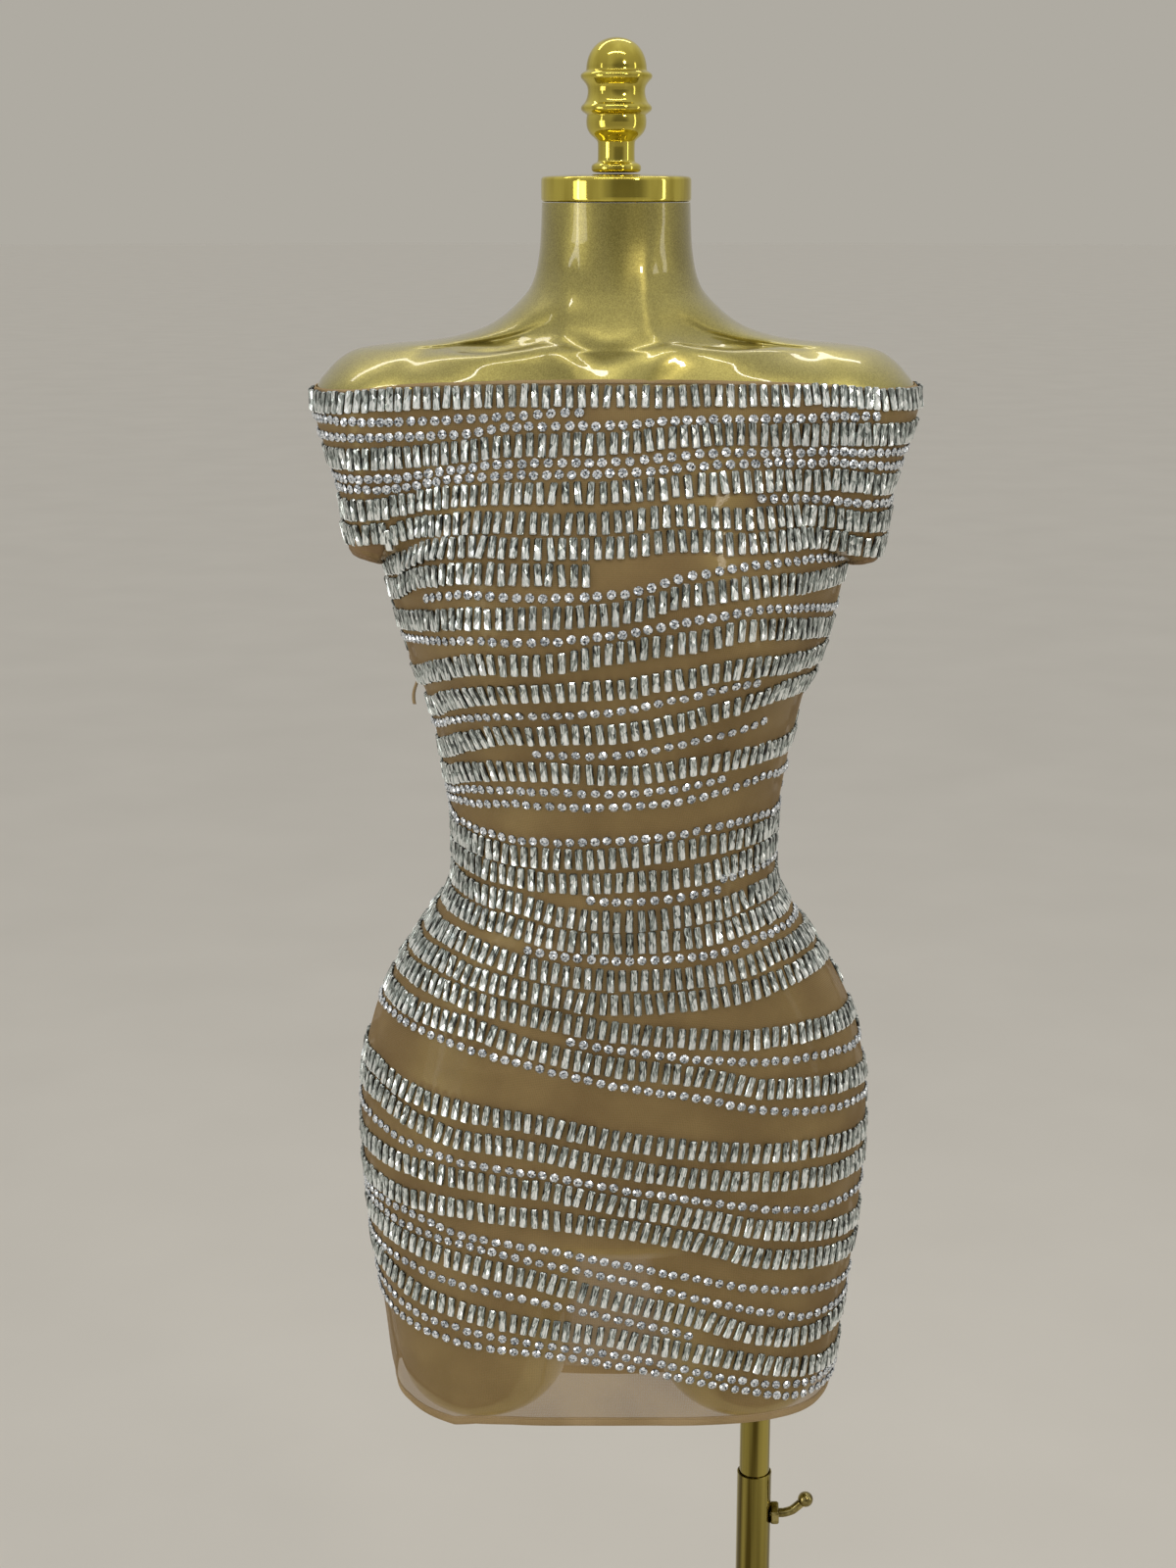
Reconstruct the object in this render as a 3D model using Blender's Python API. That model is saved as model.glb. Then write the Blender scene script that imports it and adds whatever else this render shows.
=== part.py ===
"""An off-shoulder mini dress in sheer power mesh set with rows of stones, on its dress form.

The dress is a thin wall: a front panel, a back panel and two cap sleeves, 0.3 mm apart at the
seams. Each wall's outer points rise over the rows of stones; its inside is plain. The form stands
inside, clear of the cloth, on a telescoping pole with a clamp screw and a round plate.
Metres, +Z up, the front faces -Y, the floor is z = 0. Left and right are the viewer's.
"""

import math

import bpy
import numpy as np
from mathutils import Matrix, Vector

# Cloth.
WALL = 0.0012
FORM_CLEAR = ((1240, 4.6), (1300, 3.1))  # z, form's face behind the cloth's outer face, in mm
SEAM_HALF_GAP, SLEEVE_GAP = 0.0002, 0.0005
BAGUETTE_RISE, ROUND_RISE, TURNED_EDGE_RISE = 0.0018, 0.0016, 0.0004
BAGUETTE_HALF_FLAT = 0.0055
ARMPIT_Z, NECKLINE_Z, HEM_Z = 1.246, 1.3745, 0.667
BACK_HEM_DROP = 0.062
HEM_TURN, NECK_TURN = 0.006, 0.0022
SLEEVE_TOP_Z, CUFF_Z = 1.3705, 1.2560  # at the armhole seam, and outside
PANEL_COLUMNS, SLEEVE_COLUMNS = 12, 10

# Form.
NECK_TOP_Z = 1.4797
ARMHOLE_TUCK, ARMHOLE_TUCK_Z = 0.0080, 1.280  # the form's extra room inside the armhole seam
FORM_SIDE_T = 0.93  # last place of the form's outline on a panel before the seam
LOBE_BOTTOM_Z, LOBE_ROUNDING = 1.2705, 0.022
LEG_COLUMNS = 22

# Pole, clamp and base.
POLE_X = 0.104
FIT = 0.0003
CUTTER_PAST = 0.01  # how far a cutter runs past the end it opens
UPPER_RADIUS, UPPER_BORE, UPPER_BOTTOM_Z, UPPER_TOP_Z = 0.0110, 0.0096, 0.240, 0.790
LOWER_RADIUS, LOWER_TOP_Z = 0.0125, 0.577
SOCKET_TOP_Z, SOCKET_FLOOR = 0.036, 0.0030
PLATE_RADIUS, PLATE_THICKNESS = 0.190, 0.006
CLAMP_Z, NUT_ACROSS_FLATS, NUT_END_X = 0.542, 0.016, 0.1222
NUT_START_X = 0.1125
SCREW_RADIUS, BALL_RADIUS, BALL_X, BALL_RISE = 0.0033, 0.0056, 0.1415, 0.0110
SCREW_PATH = (  # x, rise above the screw's axis
    (POLE_X + UPPER_RADIUS + FIT, 0.0), (0.1300, 0.0), (0.1338, 0.0010), (0.1368, 0.0035),
    (0.1388, 0.0065), (0.1410, 0.0105),
)

# The neck cap and the finial, turned.
CAP_PROFILE = (  # z, radius
    (1.4800, 0.0455), (1.4812, 0.0475), (1.4830, 0.0480), (1.4925, 0.0480), (1.4945, 0.0470),
    (1.4957, 0.0440), (1.4970, 0.0300), (1.4976, 0.0000),
)
FINIAL_PROFILE = (
    (1.4979, 0.0148), (1.4990, 0.0156), (1.5028, 0.0156), (1.5042, 0.0146), (1.5052, 0.0122),
    (1.5070, 0.0118), (1.5170, 0.0118), (1.5185, 0.0136), (1.5215, 0.0170), (1.5255, 0.0190),
    (1.5295, 0.0191), (1.5335, 0.0186), (1.5345, 0.0208), (1.5362, 0.0222), (1.5390, 0.0222),
    (1.5405, 0.0208), (1.5418, 0.0190), (1.5480, 0.0182), (1.5528, 0.0196), (1.5545, 0.0216),
    (1.5560, 0.0226), (1.5580, 0.0226), (1.5594, 0.0212), (1.5604, 0.0190), (1.5640, 0.0190),
    (1.5690, 0.0178), (1.5740, 0.0150), (1.5780, 0.0110), (1.5802, 0.0060), (1.5810, 0.0000),
)

# The dress below the armpit, to the plain cloth's outer face, in mm:
# z, half width, front depth, back depth, squareness, curve.
BODY = (
    (600, 152.0, 92.0, 92.0, 4.0, 0.36), (668, 155.0, 95.0, 97.0, 4.0, 0.36),
    (686, 159.0, 95.5, 99.0, 3.7, 0.37), (707, 161.3, 96.0, 102.0, 3.3, 0.38),
    (740, 165.8, 97.0, 107.0, 2.9, 0.40), (782, 171.6, 97.5, 114.0, 2.6, 0.42),
    (812, 174.2, 98.0, 118.0, 2.4, 0.43), (845, 176.0, 99.0, 120.0, 2.3, 0.44),
    (867, 176.4, 99.5, 120.5, 2.2, 0.45), (889, 175.3, 100.0, 119.5, 2.1, 0.45),
    (918, 170.5, 100.0, 116.0, 2.0, 0.46), (935, 166.0, 99.5, 113.0, 2.0, 0.46),
    (950, 160.0, 98.5, 109.5, 2.0, 0.46), (965, 152.5, 97.0, 106.0, 2.0, 0.46),
    (980, 144.0, 95.5, 101.5, 2.0, 0.46), (995, 134.5, 93.5, 96.0, 2.0, 0.46),
    (1010, 124.0, 91.5, 91.0, 2.0, 0.46), (1024, 114.5, 90.0, 87.0, 2.0, 0.46),
    (1035, 110.6, 89.3, 84.5, 2.0, 0.46), (1050, 109.5, 89.0, 83.0, 2.0, 0.46),
    (1074, 110.0, 90.0, 82.0, 2.0, 0.46), (1100, 113.3, 93.0, 83.5, 2.0, 0.46),
    (1125, 117.5, 97.0, 87.0, 2.0, 0.46), (1150, 123.0, 101.5, 91.0, 2.0, 0.46),
    (1165, 127.0, 104.0, 94.0, 2.0, 0.46), (1180, 134.0, 106.5, 96.5, 2.0, 0.46),
    (1197, 139.5, 109.0, 99.5, 2.0, 0.46), (1215, 144.5, 110.5, 102.0, 2.0, 0.47),
    (1232, 149.0, 111.0, 104.0, 2.0, 0.48), (1246, 151.5, 110.0, 105.5, 2.0, 0.49),
)
# From the armpit to the top of the neck, in mm and degrees:
# z, shoulder reach, sleeve centre, sleeve half depth, sleeve half angle, front, back, curve.
SHOULDER = (
    (1246, 171.5, 161.5, 50.0, 180, 110.0, 105.5, 0.49), (1256, 172.3, 161.5, 53.0, 163, 108.8, 106.3, 0.52),
    (1266, 175.8, 161.0, 57.0, 155, 107.3, 107.0, 0.56), (1280, 178.0, 160.0, 61.5, 146, 104.6, 107.5, 0.62),
    (1300, 180.8, 158.0, 66.0, 134, 100.3, 107.5, 0.72), (1320, 187.0, 156.5, 69.0, 124, 95.0, 106.5, 0.82),
    (1343, 194.5, 155.0, 70.0, 114, 88.5, 104.0, 0.92), (1357, 197.3, 153.0, 69.0, 109, 84.5, 101.5, 0.97),
    (1365, 196.6, 151.0, 67.0, 106, 82.0, 99.5, 1.00), (1374, 190.0, 147.0, 60.0, 104, 79.0, 96.5, 1.02),
    (1382, 181.6, 140.0, 49.0, 102, 76.5, 93.5, 1.04), (1388, 169.6, 131.0, 36.0, 101, 74.0, 91.0, 1.06),
    (1390.5, 152.6, 119.0, 30.0, 100, 73.0, 90.0, 1.06), (1392.5, 127.6, 98.0, 31.0, 98, 71.5, 88.5, 1.06),
    (1396, 105.6, 76.0, 38.0, 94, 69.5, 85.5, 1.05), (1403, 85.0, 50.0, 47.0, 85, 66.5, 80.5, 1.03),
    (1415, 68.6, 24.0, 54.0, 74, 61.5, 73.0, 1.00), (1428, 57.6, 6.0, 54.5, 64, 57.0, 64.5, 1.00),
    (1441, 53.6, 0.0, 52.5, 60, 54.0, 57.5, 1.00), (1457, 51.6, 0.0, 51.2, 60, 51.8, 53.0, 1.00),
    (1480, 50.6, 0.0, 50.6, 60, 50.6, 50.6, 1.00),
)
# A leg of the form, in mm: z, inner side, outer side, front depth, back depth.
LEG = (
    (662.0, 46.0, 138.0, 70, 74), (663.5, 41.0, 143.0, 76, 79), (667.0, 36.5, 147.5, 81, 84),
    (672.0, 33.5, 150.5, 84, 87), (680.0, 31.5, 153.0, 85, 88), (700.0, 29.0, 155.5, 84, 89),
    (725.0, 25.5, 158.5, 83, 90), (750.0, 22.0, 162.0, 81, 91), (775.0, 18.5, 165.5, 80, 92),
    (800.0, 15.0, 168.0, 78, 93), (830.0, 12.0, 169.5, 76, 93), (868.0, 10.0, 170.0, 73, 90),
)
# How the torso closes between the legs: z (mm), share of the width, share of the depth.
CROTCH = ((766, 0.10, 0.20), (768, 0.22, 0.42), (773, 0.36, 0.64), (781, 0.52, 0.80), (793, 0.72, 0.92),
          (812, 0.92, 0.985), (832, 1.0, 1.0))
TORSO_LEVELS = (
    850, 880, 910, 938, 962, 985, 1005, 1022, 1036, 1062, 1098, 1130, 1154, 1167, 1184, 1208, 1234, 1256,
    1270.5, 1272.5, 1277, 1284, 1292.5, 1308, 1328, 1345, 1358, 1368, 1376, 1382, 1386.5, 1389.5, 1392.5,
    1396.5, 1403, 1414, 1428, 1443, 1460, 1479.7,
)

# The rows of stones on the front, charted by hand: kind (B baguettes, r rounds), first and last
# place across (-1 left seam to 1 right seam), then the height in mm at -1, -0.8 ... 1.
FRONT_ROWS = (
    ("B", -1.0, 1.0, (1361, 1362, 1363, 1364, 1364, 1364, 1364, 1364, 1364, 1364, 1364)),
    ("r", -1.0, -0.14, (1347, 1348, 1350, 1352, 1354, 1356, 1356, 1356, 1356, 1356, 1356)),
    ("r", -1.0, 1.0, (1338, 1339, 1341, 1345, 1346, 1347, 1350, 1351, 1351, 1351, 1351)),
    ("B", -1.0, 1.0, (1325, 1327, 1330, 1334, 1335, 1336, 1339, 1341, 1340, 1340, 1340)),
    ("r", -1.0, 1.0, (1312, 1315, 1319, 1323, 1324, 1325, 1328, 1330, 1329, 1329, 1329)),
    ("r", -1.0, 1.0, (1305, 1308, 1313, 1316, 1317, 1318, 1321, 1323, 1323, 1322, 1323)),
    ("B", -1.0, 1.0, (1294, 1297, 1302, 1305, 1306, 1307, 1310, 1312, 1312, 1311, 1312)),
    ("B", -1.0, 1.0, (1270, 1279, 1284, 1288, 1288, 1289, 1293, 1290, 1290, 1288, 1286)),
    ("B", -1.0, 1.0, (1249, 1254, 1269, 1273, 1273, 1274, 1278, 1275, 1275, 1273, 1270)),
    ("B", -1.0, -0.08, (1233, 1237, 1251, 1257, 1258, 1257, 1268, 1266, 1266, 1264, 1261)),
    ("r", -0.60, 1.0, (1223, 1227, 1237, 1244, 1244, 1246, 1257, 1262, 1262, 1259, 1257)),
    ("B", -1.0, 1.0, (1213, 1217, 1223, 1230, 1232, 1234, 1246, 1249, 1247, 1246, 1244)),
    ("r", -1.0, 1.0, (1201, 1205, 1210, 1216, 1217, 1221, 1230, 1235, 1231, 1225, 1221)),
    ("B", -1.0, 1.0, (1175, 1180, 1191, 1201, 1203, 1210, 1217, 1223, 1218, 1212, 1208)),
    ("B", -1.0, 1.0, (1154, 1159, 1171, 1180, 1184, 1186, 1194, 1199, 1196, 1194, 1193)),
    ("r", -1.0, 0.45, (1142, 1147, 1157, 1165, 1168, 1171, 1180, 1187, 1187, 1185, 1184)),
    ("B", -1.0, 1.0, (1125, 1130, 1141, 1151, 1154, 1156, 1163, 1173, 1178, 1176, 1175)),
    ("r", -0.28, 0.55, (1117, 1121, 1131, 1140, 1140, 1141, 1147, 1153, 1158, 1155, 1155)),
    ("B", -1.0, 1.0, (1108, 1112, 1120, 1126, 1128, 1127, 1130, 1133, 1134, 1134, 1134)),
    ("r", -1.0, 0.40, (1097, 1101, 1108, 1112, 1114, 1114, 1116, 1121, 1125, 1124, 1124)),
    ("r", -1.0, 1.0, (1090, 1095, 1098, 1103, 1104, 1105, 1107, 1111, 1116, 1114, 1113)),
    ("r", -1.0, 1.0, (1084, 1082, 1080, 1078, 1079, 1082, 1084, 1087, 1088, 1087, 1087)),
    ("B", -1.0, 1.0, (1073, 1071, 1069, 1067, 1068, 1070, 1073, 1075, 1076, 1076, 1076)),
    ("B", -1.0, 1.0, (1058, 1056, 1054, 1052, 1051, 1053, 1054, 1057, 1060, 1061, 1061)),
    ("B", -1.0, 1.0, (1040, 1039, 1036, 1035, 1029, 1027, 1028, 1030, 1034, 1035, 1036)),
    ("B", -1.0, 1.0, (1025, 1023, 1021, 1019, 1014, 1012, 1013, 1015, 1019, 1020, 1021)),
    ("B", -1.0, 1.0, (1008, 1006, 1004, 998, 992, 988, 988, 990, 996, 997, 997)),
    ("B", -1.0, 1.0, (993, 991, 988, 982, 977, 972, 973, 975, 980, 982, 982)),
    ("B", -1.0, 1.0, (977, 976, 973, 967, 961, 954, 948, 943, 942, 941, 940)),
    ("B", -1.0, 1.0, (960, 958, 954, 950, 939, 930, 922, 908, 903, 899, 896)),
    ("r", -1.0, 1.0, (949, 947, 943, 936, 928, 917, 907, 893, 886, 883, 880)),
    ("B", -1.0, 1.0, (910, 909, 900, 893, 889, 879, 870, 863, 860, 857, 856)),
    ("B", -1.0, 1.0, (895, 894, 883, 873, 870, 859, 850, 843, 839, 838, 837)),
    ("r", -1.0, 1.0, (877, 873, 864, 857, 853, 844, 834, 823, 816, 816, 817)),
    ("B", -1.0, 1.0, (855, 852, 848, 845, 842, 832, 821, 808, 799, 794, 791)),
    ("B", -1.0, 1.0, (830, 827, 824, 823, 821, 815, 804, 787, 780, 775, 771)),
    ("r", -1.0, 1.0, (819, 816, 813, 804, 799, 789, 777, 765, 757, 753, 749)),
    ("r", -1.0, 1.0, (812, 809, 802, 797, 789, 778, 763, 749, 738, 737, 737)),
    ("B", -1.0, 1.0, (801, 798, 791, 784, 776, 762, 749, 732, 724, 726, 726)),
    ("r", -1.0, 0.20, (785, 780, 774, 767, 760, 748, 735, 721, 712, 711, 709)),
    ("B", -1.0, 1.0, (774, 769, 756, 748, 741, 734, 723, 711, 701, 697, 695)),
    ("r", -1.0, 1.0, (754, 749, 739, 734, 728, 721, 709, 697, 689, 687, 684)),
    ("r", -1.0, 1.0, (741, 736, 729, 724, 721, 713, 702, 690, 681, 680, 677)),
)
# The back, out of the picture, made plainly alike: kind, height at -1, 0 and 1.
BACK_ROWS = (
    ("B", 1359, 1361, 1360), ("r", 1335, 1345, 1348), ("B", 1321, 1331, 1339), ("r", 1309, 1318, 1327),
    ("B", 1288, 1296, 1304), ("B", 1268, 1275, 1281), ("B", 1251, 1257, 1263), ("r", 1237, 1244, 1252),
    ("B", 1217, 1230, 1242), ("B", 1195, 1207, 1219), ("B", 1174, 1187, 1200), ("B", 1150, 1165, 1181),
    ("r", 1134, 1146, 1160), ("B", 1114, 1127, 1142), ("r", 1096, 1109, 1122), ("r", 1084, 1088, 1096),
    ("B", 1070, 1073, 1081), ("B", 1052, 1055, 1064), ("B", 1032, 1034, 1042), ("B", 1013, 1014, 1022),
    ("B", 996, 991, 993), ("B", 978, 966, 960), ("B", 960, 939, 921), ("r", 947, 922, 900),
    ("B", 913, 889, 868), ("B", 895, 871, 850), ("r", 878, 854, 833), ("B", 857, 831, 808),
    ("B", 834, 810, 789), ("r", 818, 793, 770), ("B", 800, 773, 749), ("B", 776, 749, 725),
    ("r", 756, 731, 706), ("r", 743, 718, 693),
)
# The sleeves: kind, height at the front seam, the outside and the back seam.
LEFT_SLEEVE_ROWS = (
    ("B", 1361, 1355, 1358), ("r", 1347, 1345, 1346), ("r", 1338, 1334, 1335), ("B", 1325, 1321, 1322),
    ("r", 1312, 1308, 1309), ("r", 1304, 1299, 1300), ("B", 1291, 1286, 1288), ("B", 1272, 1267, 1270),
)
RIGHT_SLEEVE_ROWS = (
    ("B", 1362, 1358, 1360), ("B", 1340, 1338, 1339), ("r", 1328, 1325, 1327), ("r", 1320, 1316, 1318),
    ("B", 1308, 1302, 1304), ("r", 1295, 1287, 1289), ("B", 1280, 1268, 1272),
)

# Finishes: base colour, metallic, roughness.
FINISHES = {
    "dress_mesh": ((0.46, 0.36, 0.25, 1.0), 0.0, 0.75),
    "form_paint": ((0.62, 0.50, 0.22, 1.0), 0.75, 0.34),
    "polished_brass": ((0.78, 0.60, 0.24, 1.0), 1.0, 0.18),
}


def clear_scene():
    for obj in list(bpy.data.objects):
        bpy.data.objects.remove(obj, do_unlink=True)


def finish(name):
    """The named material, made once."""
    if name in bpy.data.materials:
        return bpy.data.materials[name]
    colour, metallic, roughness = FINISHES[name]
    material = bpy.data.materials.new(name)
    material.use_nodes = True
    shader = material.node_tree.nodes["Principled BSDF"]
    shader.inputs["Base Color"].default_value = colour
    shader.inputs["Metallic"].default_value = metallic
    shader.inputs["Roughness"].default_value = roughness
    material.diffuse_color = colour
    return material


def solid(name, points, faces, finish_name=None):
    """A mesh object from points and faces; without a finish it is a cutter, kept out of renders."""
    mesh = bpy.data.meshes.new(name)
    mesh.from_pydata([tuple(p) for p in points], [], faces)
    mesh.update()
    obj = bpy.data.objects.new(name, mesh)
    bpy.context.scene.collection.objects.link(obj)
    if finish_name:
        mesh.materials.append(finish(finish_name))
    else:
        obj.hide_render = True
        obj.display_type = "WIRE"
    return obj


def combine(obj, other, operation):
    """Adds an exact Boolean and hides the other object from renders."""
    other.hide_render = True
    other.display_type = "WIRE"
    modifier = obj.modifiers.new(operation.lower(), "BOOLEAN")
    modifier.operation = operation
    modifier.solver = "EXACT"
    modifier.object = other


def spline(table, at, column):
    """The column's value at a place in the table's first column, on a smooth curve that keeps its turns."""
    last = len(table) - 1
    if at <= table[0][0]:
        return table[0][column]
    if at >= table[last][0]:
        return table[last][column]
    i = max(k for k in range(last) if table[k][0] <= at)

    def step(k):
        run = table[k + 1][0] - table[k][0]
        return run, (table[k + 1][column] - table[k][column]) / run

    def slope(k):
        if k in (0, last):
            return step(min(k, last - 1))[1]
        (before, rise_before), (after, rise_after) = step(k - 1), step(k)
        if rise_before * rise_after <= 0:
            return 0.0
        w0, w1 = 2 * after + before, after + 2 * before
        return (w0 + w1) / (w0 / rise_before + w1 / rise_after)

    run, _ = step(i)
    s = (at - table[i][0]) / run
    a, b, c, d = 2 * s**3 - 3 * s * s + 1, s**3 - 2 * s * s + s, 3 * s * s - 2 * s**3, s**3 - s * s
    return a * table[i][column] + b * run * slope(i) + c * table[i + 1][column] + d * run * slope(i + 1)


def seam(z):
    """(x, y) of the right front seam at a height: the side seam, then the armhole."""
    if z < ARMPIT_Z:
        return spline(BODY, z * 1000, 1) / 1000, 0.0
    reach, centre, depth, opening = (spline(SHOULDER, z * 1000, k) for k in (1, 2, 3, 4))
    angle = math.radians(opening)
    return (centre + (reach - centre) * math.cos(angle)) / 1000, depth * math.sin(angle) / 1000


def fullness(x, z, side):
    """How far the bust, at the front, and the seat, at the back, stand out."""
    if side < 0:
        height, width, level, tall = 0.020, 0.042, 1.212, 0.050 if z > 1.212 else 0.040
        centre = 0.078
    else:
        height, width, level, tall = 0.012, 0.050, 0.875, 0.055
        centre = 0.075
    return sum(
        height * math.exp(-0.5 * ((x - s * centre) / width) ** 2 - 0.5 * ((z - level) / tall) ** 2)
        for s in (-1, 1)
    )


def panel_point(t, z, side):
    """A point of the front (side -1) or back (side 1) panel, t from the left seam (-1) to the right (1)."""
    seam_x, seam_y = seam(z)
    if z < ARMPIT_Z:
        front, back, square, curve = (spline(BODY, z * 1000, k) for k in (2, 3, 4, 5))
    else:
        front, back, curve = (spline(SHOULDER, z * 1000, k) for k in (5, 6, 7))
        square = 2.0
    depth = (front if side < 0 else back) / 1000
    even = min(1.0, max(0.0, (curve - 0.46) / 0.54))
    s = (1 - even) * math.sin(math.pi / 2 * t) + even * t * (1 + 0.12 * (1 - t * t))
    inside = max(0.0, 1 - abs(s) ** square)
    x = seam_x * s
    y = seam_y + (depth - seam_y) * inside**curve
    y += fullness(x, z, side) * min(1.0, inside * 2.2)
    return np.array((x, side * y, z))


def sleeve_point(w, z, side):
    """A point of a sleeve, w from the front seam (-1) over the outside (0) to the back seam (1)."""
    reach, centre, depth, opening = (spline(SHOULDER, z * 1000, k) for k in (1, 2, 3, 4))
    angle = math.radians(opening) * w
    x = side * (centre + (reach - centre) * math.cos(angle))
    return np.array((x / 1000, depth * math.sin(angle) / 1000, z))


def outward(point, u, z, outside):
    """The surface's unit normal at (u, z), turned away from the given middle."""
    du, dz = 0.004, 0.0015
    along = point(min(1, u + du), z) - point(max(-1, u - du), z)
    up = point(u, z + dz) - point(u, z - dz)
    normal = np.cross(along, up)
    length = np.linalg.norm(normal)
    here = point(u, z)
    normal = normal / length if length > 1e-12 else here - outside
    if np.dot(normal, here - outside) < 0:
        normal = -normal
    return normal / np.linalg.norm(normal)


def row_height(row, u):
    """A row's height in metres at u from -1 to 1."""
    heights = row[3] if isinstance(row[-1], tuple) else row[1:]
    table = [(-1 + 2 * k / (len(heights) - 1), h) for k, h in enumerate(heights)]
    return spline(table, u, 1) / 1000


def row_share(row, u):
    """1 where the row has stones, 0 past its ends and at the seams."""
    if abs(u) > 0.995:
        return 0.0
    if not isinstance(row[-1], tuple):
        return 1.0
    return float(row[1] <= u <= row[2])


def levels_at(rows, u, top, bottom):
    """(height, rise, plain) of a wall's levels at u, from the top edge down; plain ones are inside too."""
    found = [(top, TURNED_EDGE_RISE, True), (top - NECK_TURN, TURNED_EDGE_RISE, False)]
    low = top - NECK_TURN
    for row in rows:
        z, share = row_height(row, u), row_share(row, u)
        half = BAGUETTE_HALF_FLAT if row[0] == "B" else 0.0
        high = min(z + half, low - 0.0009)
        found.append(((low + high) / 2, 0.0, True))
        if row[0] == "B":
            found.append((high, BAGUETTE_RISE * share, False))
            low = min(z - half, high - 0.002)
            found.append((low, BAGUETTE_RISE * share, False))
        else:
            low = high
            found.append((low, ROUND_RISE * share, False))
    turn = bottom + HEM_TURN
    after = max(low - 0.004, (low + turn) / 2)
    found.append((after, 0.0, True))
    if turn < after - 0.001:
        found.append((turn + 0.0004, 0.0, True))
        found.append((turn, TURNED_EDGE_RISE, False))
    else:
        found.append((bottom + (after - bottom) * 0.6, 0.0, True))
        found.append((bottom + (after - bottom) * 0.5, TURNED_EDGE_RISE, False))
    found.append((bottom, TURNED_EDGE_RISE, True))
    return found


def wall(name, point, rows, columns, edges, outside, ends=(-1.0, 1.0), shift=(0.0, 0.0, 0.0)):
    """A cloth wall: a raised outer skin over a plain inner one, closed round its edges."""
    us = [ends[0] + (ends[1] - ends[0]) * j / columns for j in range(columns + 1)]
    outer, inner, plain = [], [], None
    for u in us:
        top, bottom = edges(u)
        levels = levels_at(rows, u, top, bottom)
        plain = [k for k, level in enumerate(levels) if level[2]]
        normals = [outward(point, u, z, outside(z)) for z, _, _ in levels]
        outer.append([point(u, z) + normals[k] * rise + shift for k, (z, rise, _) in enumerate(levels)])
        inner.append([point(u, levels[k][0]) - normals[k] * WALL + shift for k in plain])
    rows_out, rows_in = len(outer[0]), len(plain)
    points = [p for column in outer for p in column] + [p for column in inner for p in column]
    start = len(us) * rows_out

    def o(j, k):
        return j * rows_out + k

    def i(j, k):
        return start + j * rows_in + k

    faces = []
    for j in range(columns):
        faces += [(o(j, k), o(j, k + 1), o(j + 1, k + 1), o(j + 1, k)) for k in range(rows_out - 1)]
        faces += [(i(j, k), i(j + 1, k), i(j + 1, k + 1), i(j, k + 1)) for k in range(rows_in - 1)]
        faces.append((o(j, 0), o(j + 1, 0), i(j + 1, 0), i(j, 0)))
        faces.append((o(j + 1, rows_out - 1), o(j, rows_out - 1), i(j, rows_in - 1), i(j + 1, rows_in - 1)))
    for j, flip in ((0, False), (columns, True)):
        for n in range(rows_in - 1):
            first, last = plain[n], plain[n + 1]
            fan = [(i(j, n), o(j, k + 1), o(j, k)) for k in range(first, last)]
            fan.append((i(j, n), i(j, n + 1), o(j, last)))
            faces += [face[::-1] for face in fan] if flip else fan
    obj = solid(name, points, faces, "dress_mesh")
    face_outwards(obj)
    return obj


def face_outwards(obj):
    """Turns every face round when the closed mesh is inside out."""
    mesh = obj.data
    mesh.calc_loop_triangles()
    co = np.array([v.co for v in mesh.vertices])
    corners = [tri.vertices for tri in mesh.loop_triangles]
    volume = sum(np.dot(co[a], np.cross(co[b], co[c])) for a, b, c in corners)
    if volume < 0:
        mesh.flip_normals()


def build_dress(form):
    """The four cloth pieces, carried by the form."""
    middle = lambda z: np.array((0.0, 0.0, z))
    front = lambda t, z: panel_point(t, z, -1)
    back = lambda t, z: panel_point(t, z, 1)
    pieces = [
        wall(
            "dress_front", front, FRONT_ROWS, PANEL_COLUMNS,
            lambda t: (NECKLINE_Z - 0.0035 * t * t, HEM_Z), middle, shift=(0.0, -SEAM_HALF_GAP, 0.0),
        ),
        wall(
            "dress_back", back, BACK_ROWS, PANEL_COLUMNS,
            lambda t: (NECKLINE_Z - 0.0045 * t * t, HEM_Z - BACK_HEM_DROP * (1 - t * t) ** 0.8),
            middle, shift=(0.0, SEAM_HALF_GAP, 0.0),
        ),
    ]
    for name, side, rows, crown in (
        ("sleeve_view_left", -1, LEFT_SLEEVE_ROWS, 1.3655),
        ("sleeve_view_right", 1, RIGHT_SLEEVE_ROWS, 1.3670),
    ):
        point = lambda w, z, side=side: sleeve_point(w, z, side)
        core = lambda z, side=side: np.array((side * spline(SHOULDER, z * 1000, 2) / 1000, 0.0, z))
        edges = lambda w, crown=crown: (crown + (SLEEVE_TOP_Z - crown) * w * w, CUFF_Z - 0.0065 * w**4)
        shift = (side * SLEEVE_GAP, 0.0, 0.0)
        pieces.append(wall(name, point, rows, SLEEVE_COLUMNS, edges, core, (-0.996, 0.996), shift))
    for piece in pieces:
        attach(piece, form)


def lobe_growth(z):
    """0 under the shoulder's end, 1 where it is full, on a quarter circle."""
    short = min(1.0, max(0.0, (LOBE_BOTTOM_Z + LOBE_ROUNDING - z) / LOBE_ROUNDING))
    return math.sqrt(max(0.0, 1 - short * short))


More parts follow.
